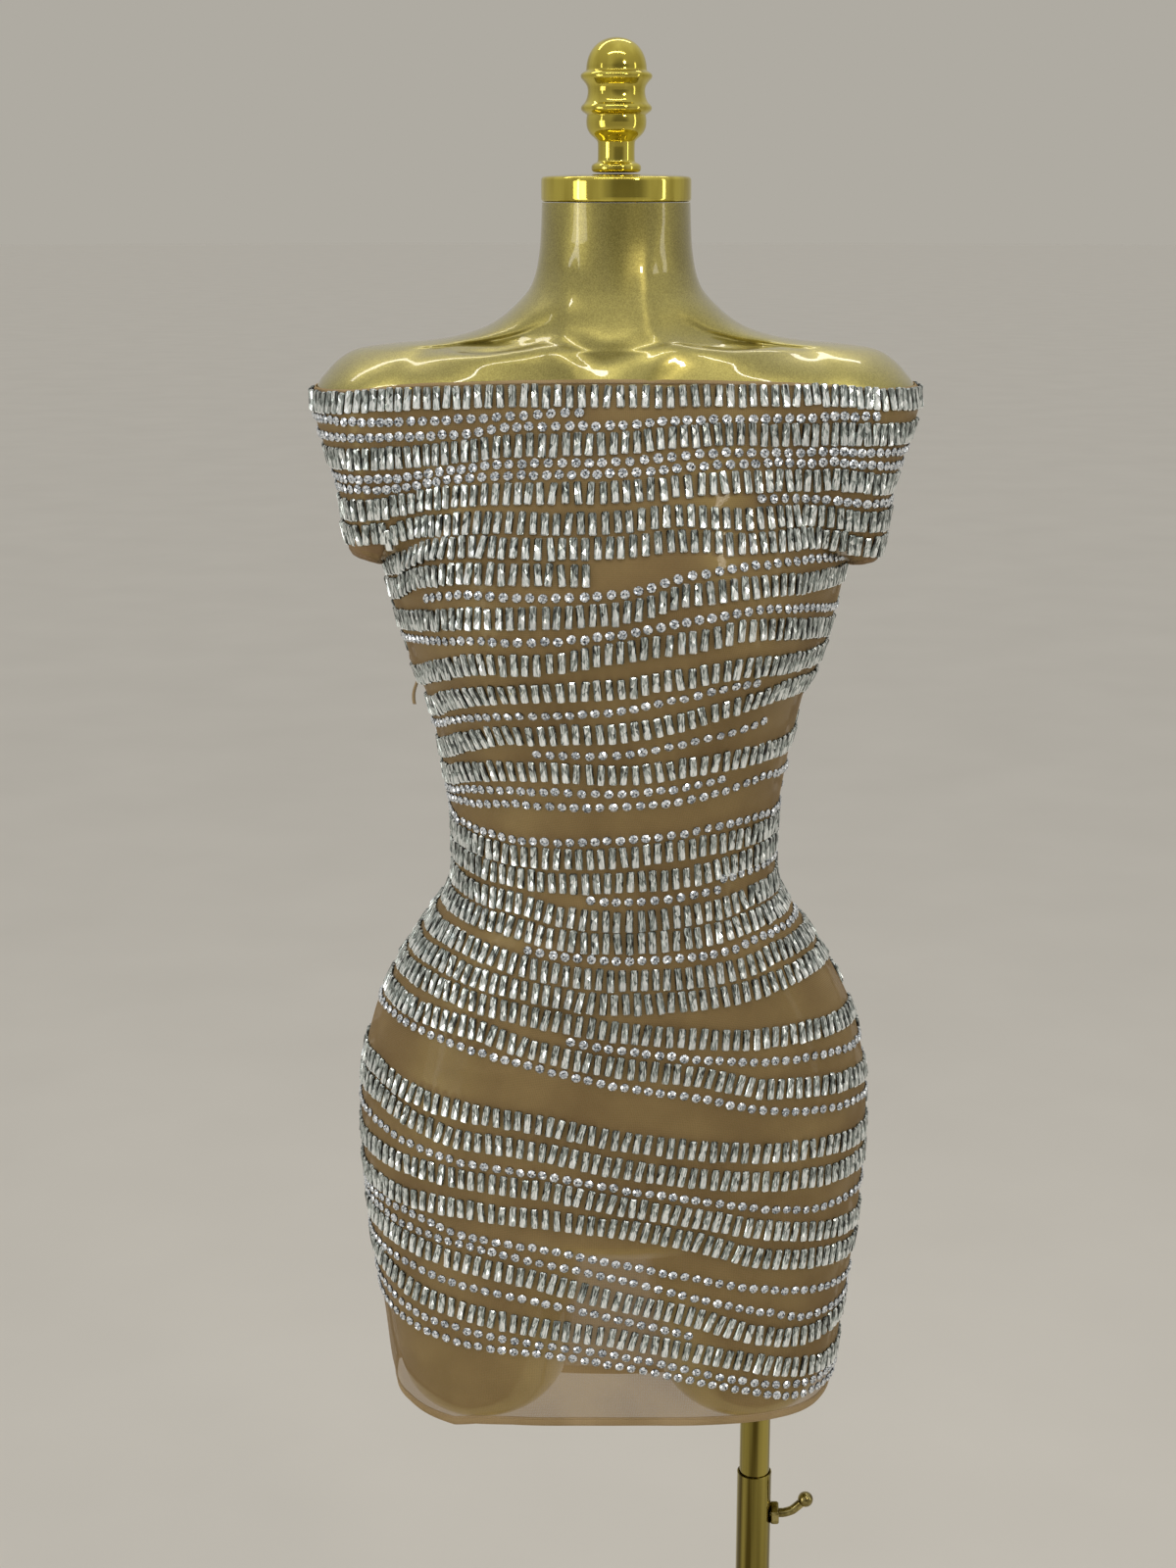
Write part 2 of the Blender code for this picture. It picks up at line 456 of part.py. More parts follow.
def form_ring(z, width=1.0, depth=1.0, grown=None):
    """The form's level outline: front, right side, back, left side, set in behind the cloth."""
    growth = lobe_growth(z) if grown is None else grown
    if z > ARMPIT_Z:
        arc = [sleeve_point(w, z, 1)[:2] for w in np.linspace(-1, 1, 9)]
        chords = [arc[0] + (arc[-1] - arc[0]) * k / 8 for k in range(9)]
        right = [chord + (p - chord) * growth for chord, p in zip(chords, arc)]
        right = [panel_point(FORM_SIDE_T, z, -1)[:2]] + right + [panel_point(FORM_SIDE_T, z, 1)[:2]]
    else:
        near = (FORM_SIDE_T, 0.952, 0.970, 0.984, 0.994)
        right = [panel_point(t, z, -1)[:2] for t in near] + [np.array(seam(z))]
        right += [panel_point(t, z, 1)[:2] for t in near[::-1]]
    right = np.array(right)
    across = np.linspace(-1, 1, PANEL_COLUMNS + 1)[1:-1]
    front = np.array([panel_point(t, z, -1)[:2] for t in across])
    back = np.array([panel_point(t, z, 1)[:2] for t in across[::-1]])
    ring = np.concatenate([front, right, back, (right * (-1, 1))[::-1]])
    ahead, behind = np.roll(ring, -1, axis=0), np.roll(ring, 1, axis=0)
    tangent = (ahead - behind) / np.linalg.norm(ahead - behind, axis=1)[:, None]
    inward = np.stack([-tangent[:, 1], tangent[:, 0]], axis=1)
    share = np.zeros(len(right))
    share[[0, 1, 2, -3, -2, -1]] = (0.6, 1, 0.6, 0.6, 1, 0.6)
    none = np.zeros(len(front))
    tuck = ARMHOLE_TUCK * math.exp(-(((z - ARMHOLE_TUCK_Z) / 0.020) ** 2))
    tuck = tuck * np.concatenate([none, share, none, share])[:, None]
    clear = spline(FORM_CLEAR, z * 1000, 1) / 1000
    ring = (ring + inward * (clear + tuck)) * (width, depth)
    return np.column_stack([ring, np.full(len(ring), z)])


def loft(name, rings, finish_name=None):
    """A closed solid through rings of equal count, with flat ends."""
    count = len(rings[0])
    points = [p for ring in rings for p in ring]
    faces = []
    for r in range(len(rings) - 1):
        for k in range(count):
            n = (k + 1) % count
            faces.append((r * count + k, r * count + n, (r + 1) * count + n, (r + 1) * count + k))
    faces.append(tuple(range(count))[::-1])
    faces.append(tuple(range((len(rings) - 1) * count, len(rings) * count)))
    obj = solid(name, points, faces, finish_name)
    face_outwards(obj)
    return obj


def leg_rings(side):
    rings = []
    for z, inner, outer, front, back in LEG:
        ring = []
        for k in range(LEG_COLUMNS):
            angle = 2 * math.pi * k / LEG_COLUMNS
            c, s = math.cos(angle), math.sin(angle)
            x = (inner + outer) / 2 + (outer - inner) / 2 * c
            y = (front if s < 0 else back) * s
            ring.append((side * x / 1000, y / 1000, z / 1000))
        rings.append(ring)
    return rings


def build_form():
    """Torso, shoulders and neck as one loft, joined to two thigh stumps, with a hole for the pole."""
    rings = [form_ring(z / 1000, width, depth, 0.0) for z, width, depth in CROTCH]
    rings += [form_ring(z / 1000) for z in TORSO_LEVELS]
    form = loft("form_torso", rings, "form_paint")
    for side, name in ((-1, "cutter_leg_left"), (1, "cutter_leg_right")):
        combine(form, loft(name, leg_rings(side)), "UNION")
    combine(form, rod("cutter_pole_hole", 0.640, UPPER_TOP_Z + FIT, UPPER_RADIUS + FIT), "DIFFERENCE")
    set_origin(form, (POLE_X, 0.0, UPPER_TOP_Z))
    for name, profile in (("neck_cap", CAP_PROFILE), ("finial", FINIAL_PROFILE)):
        attach(turned(name, profile, 18, "polished_brass"), form)
    return form


def turned(name, profile, columns, finish_name=None, x=0.0, phase=0.0):
    """A solid of revolution about the vertical through (x, 0): (z, radius) from the bottom up."""
    points, faces, rings = [], [], []
    for z, radius in profile:
        if radius == 0:
            rings.append([len(points)])
            points.append((x, 0.0, z))
            continue
        rings.append(list(range(len(points), len(points) + columns)))
        for k in range(columns):
            angle = 2 * math.pi * (k + phase) / columns
            points.append((x + radius * math.cos(angle), radius * math.sin(angle), z))
    for low, high in zip(rings, rings[1:]):
        for k in range(columns):
            n = (k + 1) % columns
            if len(high) == 1:
                faces.append((low[k], low[n], high[0]))
            elif len(low) == 1:
                faces.append((low[0], high[n], high[k]))
            else:
                faces.append((low[k], low[n], high[n], high[k]))
    if len(rings[0]) > 1:
        faces.append(tuple(rings[0])[::-1])
    if len(rings[-1]) > 1:
        faces.append(tuple(rings[-1]))
    obj = solid(name, points, faces, finish_name)
    face_outwards(obj)
    return obj


def rod(name, low, high, radius, finish_name=None, columns=32, x=POLE_X):
    """An upright cylinder between two heights, on the pole's axis unless told otherwise."""
    return turned(name, ((low, radius), (high, radius)), columns, finish_name, x=x)


def sweep(name, path, radius, columns, finish_name=None):
    """A round rod along a path in the plane y = 0."""
    path = np.array(path)
    side = np.array((0.0, 1.0, 0.0))
    rings = []
    for k, (x, z) in enumerate(path):
        ahead, behind = path[min(k + 1, len(path) - 1)], path[max(k - 1, 0)]
        dx, dz = (ahead - behind) / np.linalg.norm(ahead - behind)
        across = np.array((-dz, 0.0, dx))
        turns = [2 * math.pi * n / columns for n in range(columns)]
        middle = np.array((x, 0.0, z))
        rings.append([middle + radius * (across * math.cos(a) + side * math.sin(a)) for a in turns])
    return loft(name, rings, finish_name)


def lay_along_x(obj, z):
    """Lays a solid turned about the vertical along +X at a height."""
    for vertex in obj.data.vertices:
        px, py, pz = vertex.co
        vertex.co = (pz, py, z - px)
    face_outwards(obj)
    return obj


def set_origin(obj, at):
    """Moves an object's origin, and not its shape, to a point."""
    obj.data.transform(Matrix.Translation(-Vector(at)))
    obj.location = at


def attach(child, parent):
    """Parents an object and leaves it where it is."""
    child.parent = parent
    child.matrix_parent_inverse = Matrix.Translation(-parent.location)


def build_base():
    """The plate, and the socket that holds the lower tube."""
    edge = 0.0012
    turned(
        "base_plate",
        ((0.0, PLATE_RADIUS - edge), (edge, PLATE_RADIUS), (PLATE_THICKNESS - edge, PLATE_RADIUS),
         (PLATE_THICKNESS, PLATE_RADIUS - edge)),
        48, "polished_brass",
    )
    low = PLATE_THICKNESS + FIT
    socket = turned(
        "base_socket",
        ((low, 0.0300), (low + SOCKET_FLOOR, 0.0300), (low + 0.0045, 0.0285), (low + 0.0055, 0.0180),
         (SOCKET_TOP_Z - 0.0015, 0.0170), (SOCKET_TOP_Z, 0.0158)),
        20, "polished_brass", x=POLE_X,
    )
    bore = rod("cutter_socket", low + SOCKET_FLOOR, SOCKET_TOP_Z + CUTTER_PAST, LOWER_RADIUS + FIT)
    combine(socket, bore, "DIFFERENCE")


def build_pole():
    """The lower tube, drilled for the screw, and the upper tube that slides in it."""
    bottom, edge = PLATE_THICKNESS + SOCKET_FLOOR + 2 * FIT, 0.0005
    lower = turned(
        "lower_tube",
        ((bottom, LOWER_RADIUS), (LOWER_TOP_Z - edge, LOWER_RADIUS), (LOWER_TOP_Z, LOWER_RADIUS - edge)),
        32, "polished_brass", x=POLE_X,
    )
    bore = rod("cutter_lower_bore", 0.012, LOWER_TOP_Z + CUTTER_PAST, UPPER_RADIUS + FIT)
    combine(lower, bore, "DIFFERENCE")
    drilled = rod("cutter_screw_side", POLE_X + 0.004, POLE_X + 0.030, SCREW_RADIUS + FIT, columns=20, x=0.0)
    combine(lower, lay_along_x(drilled, CLAMP_Z), "DIFFERENCE")

    upper = rod("upper_tube", UPPER_BOTTOM_Z, UPPER_TOP_Z, UPPER_RADIUS, "polished_brass")
    hollow = rod("cutter_upper_bore", UPPER_BOTTOM_Z - CUTTER_PAST, UPPER_TOP_Z - 0.004, UPPER_BORE)
    combine(upper, hollow, "DIFFERENCE")
    set_origin(upper, (POLE_X, 0.0, UPPER_BOTTOM_Z))


def build_clamp():
    """The hexagonal nut on the lower tube and the bent screw with its ball end."""
    corners, edge = NUT_ACROSS_FLATS / math.sqrt(3), 0.0008
    profile = ((NUT_START_X, corners), (NUT_END_X - edge, corners), (NUT_END_X, corners - edge))
    nut = lay_along_x(turned("clamp_nut", profile, 6, "polished_brass", phase=0.5), CLAMP_Z)
    saddle = rod("cutter_nut_saddle", CLAMP_Z - 0.04, CLAMP_Z + 0.04, LOWER_RADIUS + FIT, columns=48)
    combine(nut, saddle, "DIFFERENCE")
    low, high = NUT_START_X - 0.003, NUT_END_X + 0.008
    bore = rod("cutter_nut_bore", low, high, SCREW_RADIUS + FIT, columns=20, x=0.0)
    combine(nut, lay_along_x(bore, CLAMP_Z), "DIFFERENCE")

    path = [(x, CLAMP_Z + rise) for x, rise in SCREW_PATH]
    screw = sweep("clamp_screw", path, SCREW_RADIUS, 16, "polished_brass")
    steps, ball = 8, []
    for k in range(steps + 1):
        angle = math.pi * k / steps
        radius = BALL_RADIUS * math.sin(angle) if 0 < k < steps else 0
        ball.append((CLAMP_Z + BALL_RISE - BALL_RADIUS * math.cos(angle), radius))
    combine(screw, turned("cutter_ball", ball, 16, x=BALL_X), "UNION")
    set_origin(screw, (SCREW_PATH[0][0], 0.0, CLAMP_Z))


def main():
    clear_scene()
    form = build_form()
    build_dress(form)
    build_base()
    build_pole()
    build_clamp()


main()
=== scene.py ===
"""An off-shoulder mini dress of sheer power mesh, set with wavy rows of foil-backed glass stones, on a
gold-painted dress form with a brass neck cap, finial and telescoping pole.

Lengths are in metres unless a name ends in _mm. The front faces -Y, +Z is up, and left and right are
the viewer's. The cloth's surface is worked out from two short tables, one for the body and one for
the shoulders, and everything on the cloth is placed on that surface.
"""

from __future__ import annotations

import logging
import math
from collections.abc import Callable, Sequence
from dataclasses import dataclass, field
from enum import Enum

import bpy
import numpy as np
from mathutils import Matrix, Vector

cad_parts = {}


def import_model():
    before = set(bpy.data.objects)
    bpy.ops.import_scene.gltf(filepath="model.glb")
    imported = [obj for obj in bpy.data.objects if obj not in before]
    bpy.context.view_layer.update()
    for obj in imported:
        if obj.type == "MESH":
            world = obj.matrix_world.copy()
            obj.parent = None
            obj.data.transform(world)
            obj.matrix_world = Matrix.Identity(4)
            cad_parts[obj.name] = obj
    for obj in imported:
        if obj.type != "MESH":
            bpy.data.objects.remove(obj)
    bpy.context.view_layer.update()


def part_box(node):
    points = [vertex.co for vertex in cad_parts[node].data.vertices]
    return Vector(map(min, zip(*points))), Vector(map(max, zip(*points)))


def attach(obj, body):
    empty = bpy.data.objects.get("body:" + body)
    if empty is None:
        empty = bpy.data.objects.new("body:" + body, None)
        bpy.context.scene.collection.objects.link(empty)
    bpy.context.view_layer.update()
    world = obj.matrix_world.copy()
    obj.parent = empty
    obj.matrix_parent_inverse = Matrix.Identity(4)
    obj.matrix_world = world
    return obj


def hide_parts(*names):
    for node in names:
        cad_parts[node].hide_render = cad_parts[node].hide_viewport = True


LOG = logging.getLogger("mini_dress")
MM = 0.001
SURFACE = Callable[[np.ndarray, np.ndarray], np.ndarray]


class Side(Enum):
    """The half of the body that a panel covers; the value is the sign of its Y."""

    FRONT = -1
    BACK = 1


class Hand(Enum):
    """The viewer's side that a sleeve is on; the value is the sign of its X."""

    LEFT = -1
    RIGHT = 1


class Cut(Enum):
    """The two cuts of stone."""

    BAGUETTE = "B"
    ROUND = "r"


class Body(Enum):
    """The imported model's bodies that pieces ride on."""

    FORM = "form"
    MAST = "mast"
    BASE = "base"
    CLAMP = "clamp"


class Slot(Enum):
    """The record's material slots."""

    CLOTH = "dress_mesh"
    PAINT = "form_paint"
    BRASS = "polished_brass"


@dataclass(frozen=True)
class Curve:
    """A smooth curve through a few values that keeps their rises, falls and turns."""

    places: np.ndarray
    values: np.ndarray
    slopes: np.ndarray

    @classmethod
    def through(cls, places: Sequence[float], values: Sequence[float]) -> Curve:
        """Fits the curve.

        Args:
            places: where the values are, rising.
            values: the values there.

        Returns:
            The curve.
        """
        x, y = np.array(places, float), np.array(values, float)
        run = np.diff(x)
        rise = np.diff(y) / run
        slopes = np.empty(len(x))
        slopes[0], slopes[-1] = rise[0], rise[-1]
        for k in range(1, len(x) - 1):
            low, high = rise[k - 1], rise[k]
            w0, w1 = 2 * run[k] + run[k - 1], run[k] + 2 * run[k - 1]
            slopes[k] = (w0 + w1) / (w0 / low + w1 / high) if low * high > 0 else 0.0
        return cls(x, y, slopes)

    def at(self, where: np.ndarray) -> np.ndarray:
        """The curve's values at these places, level past its ends.

        Args:
            where: places, which may lie past the curve's ends.

        Returns:
            The values there, level past the ends.
        """
        x = np.clip(where, self.places[0], self.places[-1])
        k = np.clip(np.searchsorted(self.places, x, side="right") - 1, 0, len(self.places) - 2)
        run = self.places[k + 1] - self.places[k]
        s = (x - self.places[k]) / run
        return (
            (2 * s**3 - 3 * s**2 + 1) * self.values[k]
            + (s**3 - 2 * s**2 + s) * run * self.slopes[k]
            + (3 * s**2 - 2 * s**3) * self.values[k + 1]
            + (s**3 - s**2) * run * self.slopes[k + 1]
        )


# The dress below the armpit, in mm: z, half width, front depth, back depth, squareness, curve.
BODY = (
    (600, 152.0, 92.0, 92.0, 4.0, 0.36), (668, 155.0, 95.0, 97.0, 4.0, 0.36),
    (686, 159.0, 95.5, 99.0, 3.7, 0.37), (707, 161.3, 96.0, 102.0, 3.3, 0.38),
    (740, 165.8, 97.0, 107.0, 2.9, 0.40), (782, 171.6, 97.5, 114.0, 2.6, 0.42),
    (812, 174.2, 98.0, 118.0, 2.4, 0.43), (845, 176.0, 99.0, 120.0, 2.3, 0.44),
    (867, 176.4, 99.5, 120.5, 2.2, 0.45), (889, 175.3, 100.0, 119.5, 2.1, 0.45),
    (918, 170.5, 100.0, 116.0, 2.0, 0.46), (935, 166.0, 99.5, 113.0, 2.0, 0.46),
    (950, 160.0, 98.5, 109.5, 2.0, 0.46), (965, 152.5, 97.0, 106.0, 2.0, 0.46),
    (980, 144.0, 95.5, 101.5, 2.0, 0.46), (995, 134.5, 93.5, 96.0, 2.0, 0.46),
    (1010, 124.0, 91.5, 91.0, 2.0, 0.46), (1024, 114.5, 90.0, 87.0, 2.0, 0.46),
    (1035, 110.6, 89.3, 84.5, 2.0, 0.46), (1050, 109.5, 89.0, 83.0, 2.0, 0.46),
    (1074, 110.0, 90.0, 82.0, 2.0, 0.46), (1100, 113.3, 93.0, 83.5, 2.0, 0.46),
    (1125, 117.5, 97.0, 87.0, 2.0, 0.46), (1150, 123.0, 101.5, 91.0, 2.0, 0.46),
    (1165, 127.0, 104.0, 94.0, 2.0, 0.46), (1180, 134.0, 106.5, 96.5, 2.0, 0.46),
    (1197, 139.5, 109.0, 99.5, 2.0, 0.46), (1215, 144.5, 110.5, 102.0, 2.0, 0.47),
    (1232, 149.0, 111.0, 104.0, 2.0, 0.48), (1246, 151.5, 110.0, 105.5, 2.0, 0.49),
)
# From the armpit to the top of the neck, in mm and degrees:
# z, shoulder reach, sleeve centre, sleeve half depth, sleeve half angle, front, back, curve.
SHOULDER = (
    (1246, 171.5, 161.5, 50.0, 180, 110.0, 105.5, 0.49),
    (1256, 172.3, 161.5, 53.0, 163, 108.8, 106.3, 0.52),
    (1266, 175.8, 161.0, 57.0, 155, 107.3, 107.0, 0.56), (1280, 178.0, 160.0, 61.5, 146, 104.6, 107.5, 0.62),
    (1300, 180.8, 158.0, 66.0, 134, 100.3, 107.5, 0.72), (1320, 187.0, 156.5, 69.0, 124, 95.0, 106.5, 0.82),
    (1343, 194.5, 155.0, 70.0, 114, 88.5, 104.0, 0.92), (1357, 197.3, 153.0, 69.0, 109, 84.5, 101.5, 0.97),
    (1365, 196.6, 151.0, 67.0, 106, 82.0, 99.5, 1.00), (1374, 190.0, 147.0, 60.0, 104, 79.0, 96.5, 1.02),
    (1382, 181.6, 140.0, 49.0, 102, 76.5, 93.5, 1.04), (1388, 169.6, 131.0, 36.0, 101, 74.0, 91.0, 1.06),
    (1390.5, 152.6, 119.0, 30.0, 100, 73.0, 90.0, 1.06), (1392.5, 127.6, 98.0, 31.0, 98, 71.5, 88.5, 1.06),
    (1396, 105.6, 76.0, 38.0, 94, 69.5, 85.5, 1.05), (1403, 85.0, 50.0, 47.0, 85, 66.5, 80.5, 1.03),
    (1415, 68.6, 24.0, 54.0, 74, 61.5, 73.0, 1.00), (1428, 57.6, 6.0, 54.5, 64, 57.0, 64.5, 1.00),
    (1441, 53.6, 0.0, 52.5, 60, 54.0, 57.5, 1.00), (1457, 51.6, 0.0, 51.2, 60, 51.8, 53.0, 1.00),
    (1480, 50.6, 0.0, 50.6, 60, 50.6, 50.6, 1.00),
)

# The front's rows of stones, charted: cut, first and last place across (-1 left seam to 1
# right seam), then the height in mm at -1, -0.8 ... 1.
FRONT_ROWS = (
    ("B", -1.0, 1.0, (1361, 1362, 1363, 1364, 1364, 1364, 1364, 1364, 1364, 1364, 1364)),
    ("r", -1.0, -0.14, (1347, 1348, 1350, 1352, 1354, 1356, 1356, 1356, 1356, 1356, 1356)),
    ("r", -1.0, 1.0, (1338, 1339, 1341, 1345, 1346, 1347, 1349, 1350, 1350, 1350, 1351)),
    ("B", -1.0, 1.0, (1325, 1327, 1330, 1334, 1335, 1336, 1339, 1341, 1340, 1340, 1340)),
    ("r", -1.0, 1.0, (1312, 1315, 1319, 1323, 1324, 1325, 1328, 1330, 1329, 1329, 1329)),
    ("r", -1.0, 1.0, (1305, 1308, 1313, 1316, 1317, 1318, 1321, 1323, 1323, 1322, 1323)),
    ("B", -1.0, 1.0, (1294, 1297, 1302, 1305, 1306, 1307, 1310, 1312, 1312, 1311, 1312)),
    ("r", 0.50, 1.0, (1283, 1288, 1293, 1297, 1297, 1298, 1302, 1301, 1301, 1299, 1297)),
    ("B", -1.0, 1.0, (1270, 1279, 1284, 1288, 1288, 1289, 1293, 1290, 1290, 1288, 1286)),
    ("B", -1.0, 1.0, (1249, 1254, 1269, 1273, 1273, 1274, 1278, 1275, 1275, 1273, 1270)),
    ("B", -1.0, -0.08, (1233, 1237, 1251, 1257, 1258, 1257, 1268, 1266, 1266, 1264, 1261)),
    ("r", -0.60, 1.0, (1223, 1227, 1237, 1244, 1244, 1246, 1257, 1262, 1262, 1259, 1257)),
    ("B", -1.0, 1.0, (1213, 1217, 1223, 1230, 1232, 1234, 1246, 1249, 1247, 1246, 1244)),
    ("r", -1.0, 1.0, (1201, 1205, 1210, 1216, 1217, 1221, 1230, 1235, 1231, 1225, 1221)),
    ("B", -1.0, 1.0, (1175, 1180, 1191, 1201, 1203, 1210, 1217, 1223, 1218, 1212, 1208)),
    ("B", -1.0, 1.0, (1154, 1159, 1171, 1180, 1184, 1186, 1194, 1199, 1196, 1194, 1193)),
    ("r", -1.0, 0.45, (1142, 1147, 1157, 1165, 1168, 1171, 1180, 1187, 1187, 1185, 1184)),
    ("B", -1.0, 1.0, (1125, 1130, 1141, 1151, 1154, 1156, 1163, 1173, 1178, 1176, 1175)),
    ("r", -0.28, 0.55, (1117, 1121, 1131, 1140, 1140, 1141, 1147, 1153, 1158, 1155, 1155)),
    ("B", -1.0, 1.0, (1108, 1112, 1120, 1126, 1128, 1127, 1130, 1133, 1134, 1134, 1134)),
    ("r", -1.0, 0.40, (1097, 1101, 1108, 1112, 1114, 1114, 1116, 1121, 1125, 1124, 1124)),
    ("r", -1.0, 1.0, (1090, 1095, 1098, 1103, 1104, 1105, 1107, 1111, 1116, 1114, 1113)),
    ("r", -1.0, 1.0, (1084, 1082, 1080, 1078, 1079, 1082, 1084, 1087, 1088, 1087, 1087)),
    ("B", -1.0, 1.0, (1073, 1071, 1069, 1067, 1068, 1070, 1073, 1075, 1076, 1076, 1076)),
    ("B", -1.0, 1.0, (1058, 1056, 1054, 1052, 1051, 1053, 1054, 1057, 1060, 1061, 1061)),
    ("r", -0.10, 0.42, (1049, 1047, 1045, 1043, 1041, 1040, 1041, 1043, 1047, 1046, 1045)),
    ("r", 0.44, 0.92, (1050, 1050, 1050, 1050, 1050, 1050, 1050, 1050, 1051, 1052, 1052)),
    ("B", -1.0, 1.0, (1040, 1039, 1036, 1035, 1029, 1027, 1028, 1030, 1034, 1035, 1036)),
    ("B", -1.0, 1.0, (1025, 1023, 1021, 1019, 1014, 1012, 1013, 1015, 1019, 1020, 1021)),
    ("r", -0.30, 1.0, (1016, 1015, 1012, 1008, 1003, 1001, 1001, 1003, 1008, 1009, 1010)),
    ("B", -1.0, 1.0, (1008, 1006, 1004, 998, 992, 988, 988, 990, 996, 997, 997)),
    ("B", -1.0, 1.0, (993, 991, 988, 982, 977, 972, 973, 975, 980, 982, 982)),
    ("B", -1.0, 1.0, (977, 976, 973, 967, 961, 954, 948, 943, 942, 941, 940)),
    ("r", -0.12, 1.0, (969, 967, 963, 958, 950, 942, 934, 927, 924, 921, 920)),
    ("B", -1.0, 1.0, (960, 958, 954, 950, 939, 930, 922, 908, 903, 899, 896)),
    ("r", -1.0, 1.0, (949, 947, 943, 936, 928, 917, 907, 893, 886, 883, 880)),
    ("B", -1.0, 1.0, (910, 909, 900, 893, 889, 879, 870, 863, 860, 857, 856)),
    ("B", -1.0, 1.0, (895, 894, 883, 873, 870, 859, 850, 843, 839, 838, 837)),
    ("r", -1.0, 1.0, (877, 873, 864, 857, 853, 844, 834, 823, 816, 816, 817)),
    ("B", -1.0, 1.0, (855, 852, 848, 845, 842, 832, 821, 808, 799, 794, 791)),
    ("B", -1.0, 1.0, (830, 827, 824, 823, 821, 815, 804, 787, 780, 775, 771)),
    ("r", -1.0, 1.0, (819, 816, 813, 804, 799, 789, 777, 765, 757, 753, 749)),
    ("r", -1.0, 1.0, (812, 809, 802, 797, 789, 778, 763, 749, 738, 737, 737)),
    ("B", -1.0, 1.0, (801, 798, 791, 784, 776, 762, 749, 732, 724, 726, 726)),
    ("r", -1.0, 0.20, (785, 780, 774, 767, 760, 748, 735, 721, 712, 711, 709)),
    ("B", -1.0, 1.0, (774, 769, 756, 748, 741, 734, 723, 711, 701, 697, 695)),
    ("r", -1.0, 1.0, (754, 749, 739, 734, 728, 721, 709, 697, 689, 687, 684)),
    ("r", -1.0, 1.0, (741, 736, 729, 724, 721, 713, 702, 690, 681, 680, 677)),
)
# The back's rows, made plainly alike: cut, then the height in mm at -1, 0 and 1.
BACK_ROWS = (
    ("B", 1359, 1361, 1360), ("r", 1335, 1345, 1348), ("B", 1321, 1331, 1339), ("r", 1309, 1318, 1327),
    ("B", 1288, 1296, 1304), ("B", 1268, 1275, 1281), ("B", 1251, 1257, 1263), ("r", 1237, 1244, 1252),
    ("B", 1217, 1230, 1242), ("B", 1195, 1207, 1219), ("B", 1174, 1187, 1200), ("B", 1150, 1165, 1181),
    ("r", 1134, 1146, 1160), ("B", 1114, 1127, 1142), ("r", 1096, 1109, 1122), ("r", 1084, 1088, 1096),
    ("B", 1070, 1073, 1081), ("B", 1052, 1055, 1064), ("B", 1032, 1034, 1042), ("B", 1013, 1014, 1022),
    ("B", 996, 991, 993), ("B", 978, 966, 960), ("B", 960, 939, 921), ("r", 947, 922, 900),
    ("B", 913, 889, 868), ("B", 895, 871, 850), ("r", 878, 854, 833), ("B", 857, 831, 808),
    ("B", 834, 810, 789), ("r", 818, 793, 770), ("B", 800, 773, 749), ("B", 776, 749, 725),
    ("r", 756, 731, 706), ("r", 743, 718, 693),
)
# The sleeves' rows: cut, then the height in mm at the front seam, the outside and the back seam. A
# row that stops short has its first and last place round the sleeve before its heights.
LEFT_SLEEVE_ROWS = (
    ("B", 1361, 1356, 1358), ("r", 1347, 1347, 1347), ("r", 1338, 1336, 1336), ("B", 1325, 1322, 1322),
    ("r", 1312, 1310, 1310), ("r", 1305, 1303, 1302), ("B", 1293, 1289, 1289), ("B", 1277, 1273, 1274),
)
RIGHT_SLEEVE_ROWS = (
    ("B", 1363, 1358, 1360), ("r", -1.0, -0.70, (1351, 1350, 1350)), ("B", 1340, 1338, 1339),
    ("r", 1329, 1326, 1327), ("r", 1322, 1317, 1318), ("B", 1311, 1305, 1306), ("r", 1297, 1293, 1292),
    ("B", 1285, 1282, 1281), ("B", 1269, 1266, 1266),
)


def smooth_step(share: np.ndarray) -> np.ndarray:
    """A soft rise from 0 to 1 as the share goes from 0 to 1."""
    share = np.clip(share, 0, 1)
    return share * share * (3 - 2 * share)


def linear(code: str) -> tuple[float, float, float, float]:
    """Turns an sRGB hex code into linear RGBA.

    Args:
        code: the colour, such as "#c0a060".

    Returns:
        Four numbers from 0 to 1.
    """
    parts = [int(code[k : k + 2], 16) / 255 for k in (1, 3, 5)]
    red, green, blue = (p / 12.92 if p <= 0.04045 else ((p + 0.055) / 1.055) ** 2.4 for p in parts)
    return red, green, blue, 1.0


def add_node(
    tree: bpy.types.NodeTree, kind: str, settings: dict | None = None, links: dict | None = None
) -> bpy.types.Node:
    """Adds one shader node.

    Args:
        tree: the node tree.
        kind: Blender's name of the node's type, without its ShaderNode prefix.
        settings: values by the name of a property, or of an input or its number; "stops" are a colour
            ramp's places and sRGB hex codes.
        links: output sockets by the name of the input that they feed, or its number.

    Returns:
        The node.
    """
    node = tree.nodes.new("ShaderNode" + kind)
    for key, value in (settings or {}).items():
        if key == "stops":
            elements = node.color_ramp.elements
            elements.remove(elements[1])
            elements[0].position, elements[0].color = value[0][0], linear(value[0][1])
            for place, code in value[1:]:
                elements.new(place).color = linear(code)
        elif isinstance(key, str) and hasattr(node, key):
            setattr(node, key, value)
        else:
            node.inputs[key].default_value = value
    for key, socket in (links or {}).items():
        tree.links.new(socket, node.inputs[key])
    return node


def start_material(
    name: str, settings: dict
) -> tuple[bpy.types.Material, bpy.types.NodeTree, bpy.types.Node]:
    """Starts a material.

    Args:
        name: its name.
        settings: what is the same all over it, by the name of the Principled shader's input.

    Returns:
        The material, its tree and its Principled shader.
    """
    material = bpy.data.materials.new(name)
    material.use_nodes = True
    shader = material.node_tree.nodes["Principled BSDF"]
    for key, value in settings.items():
        shader.inputs[key].default_value = value
    return material, material.node_tree, shader


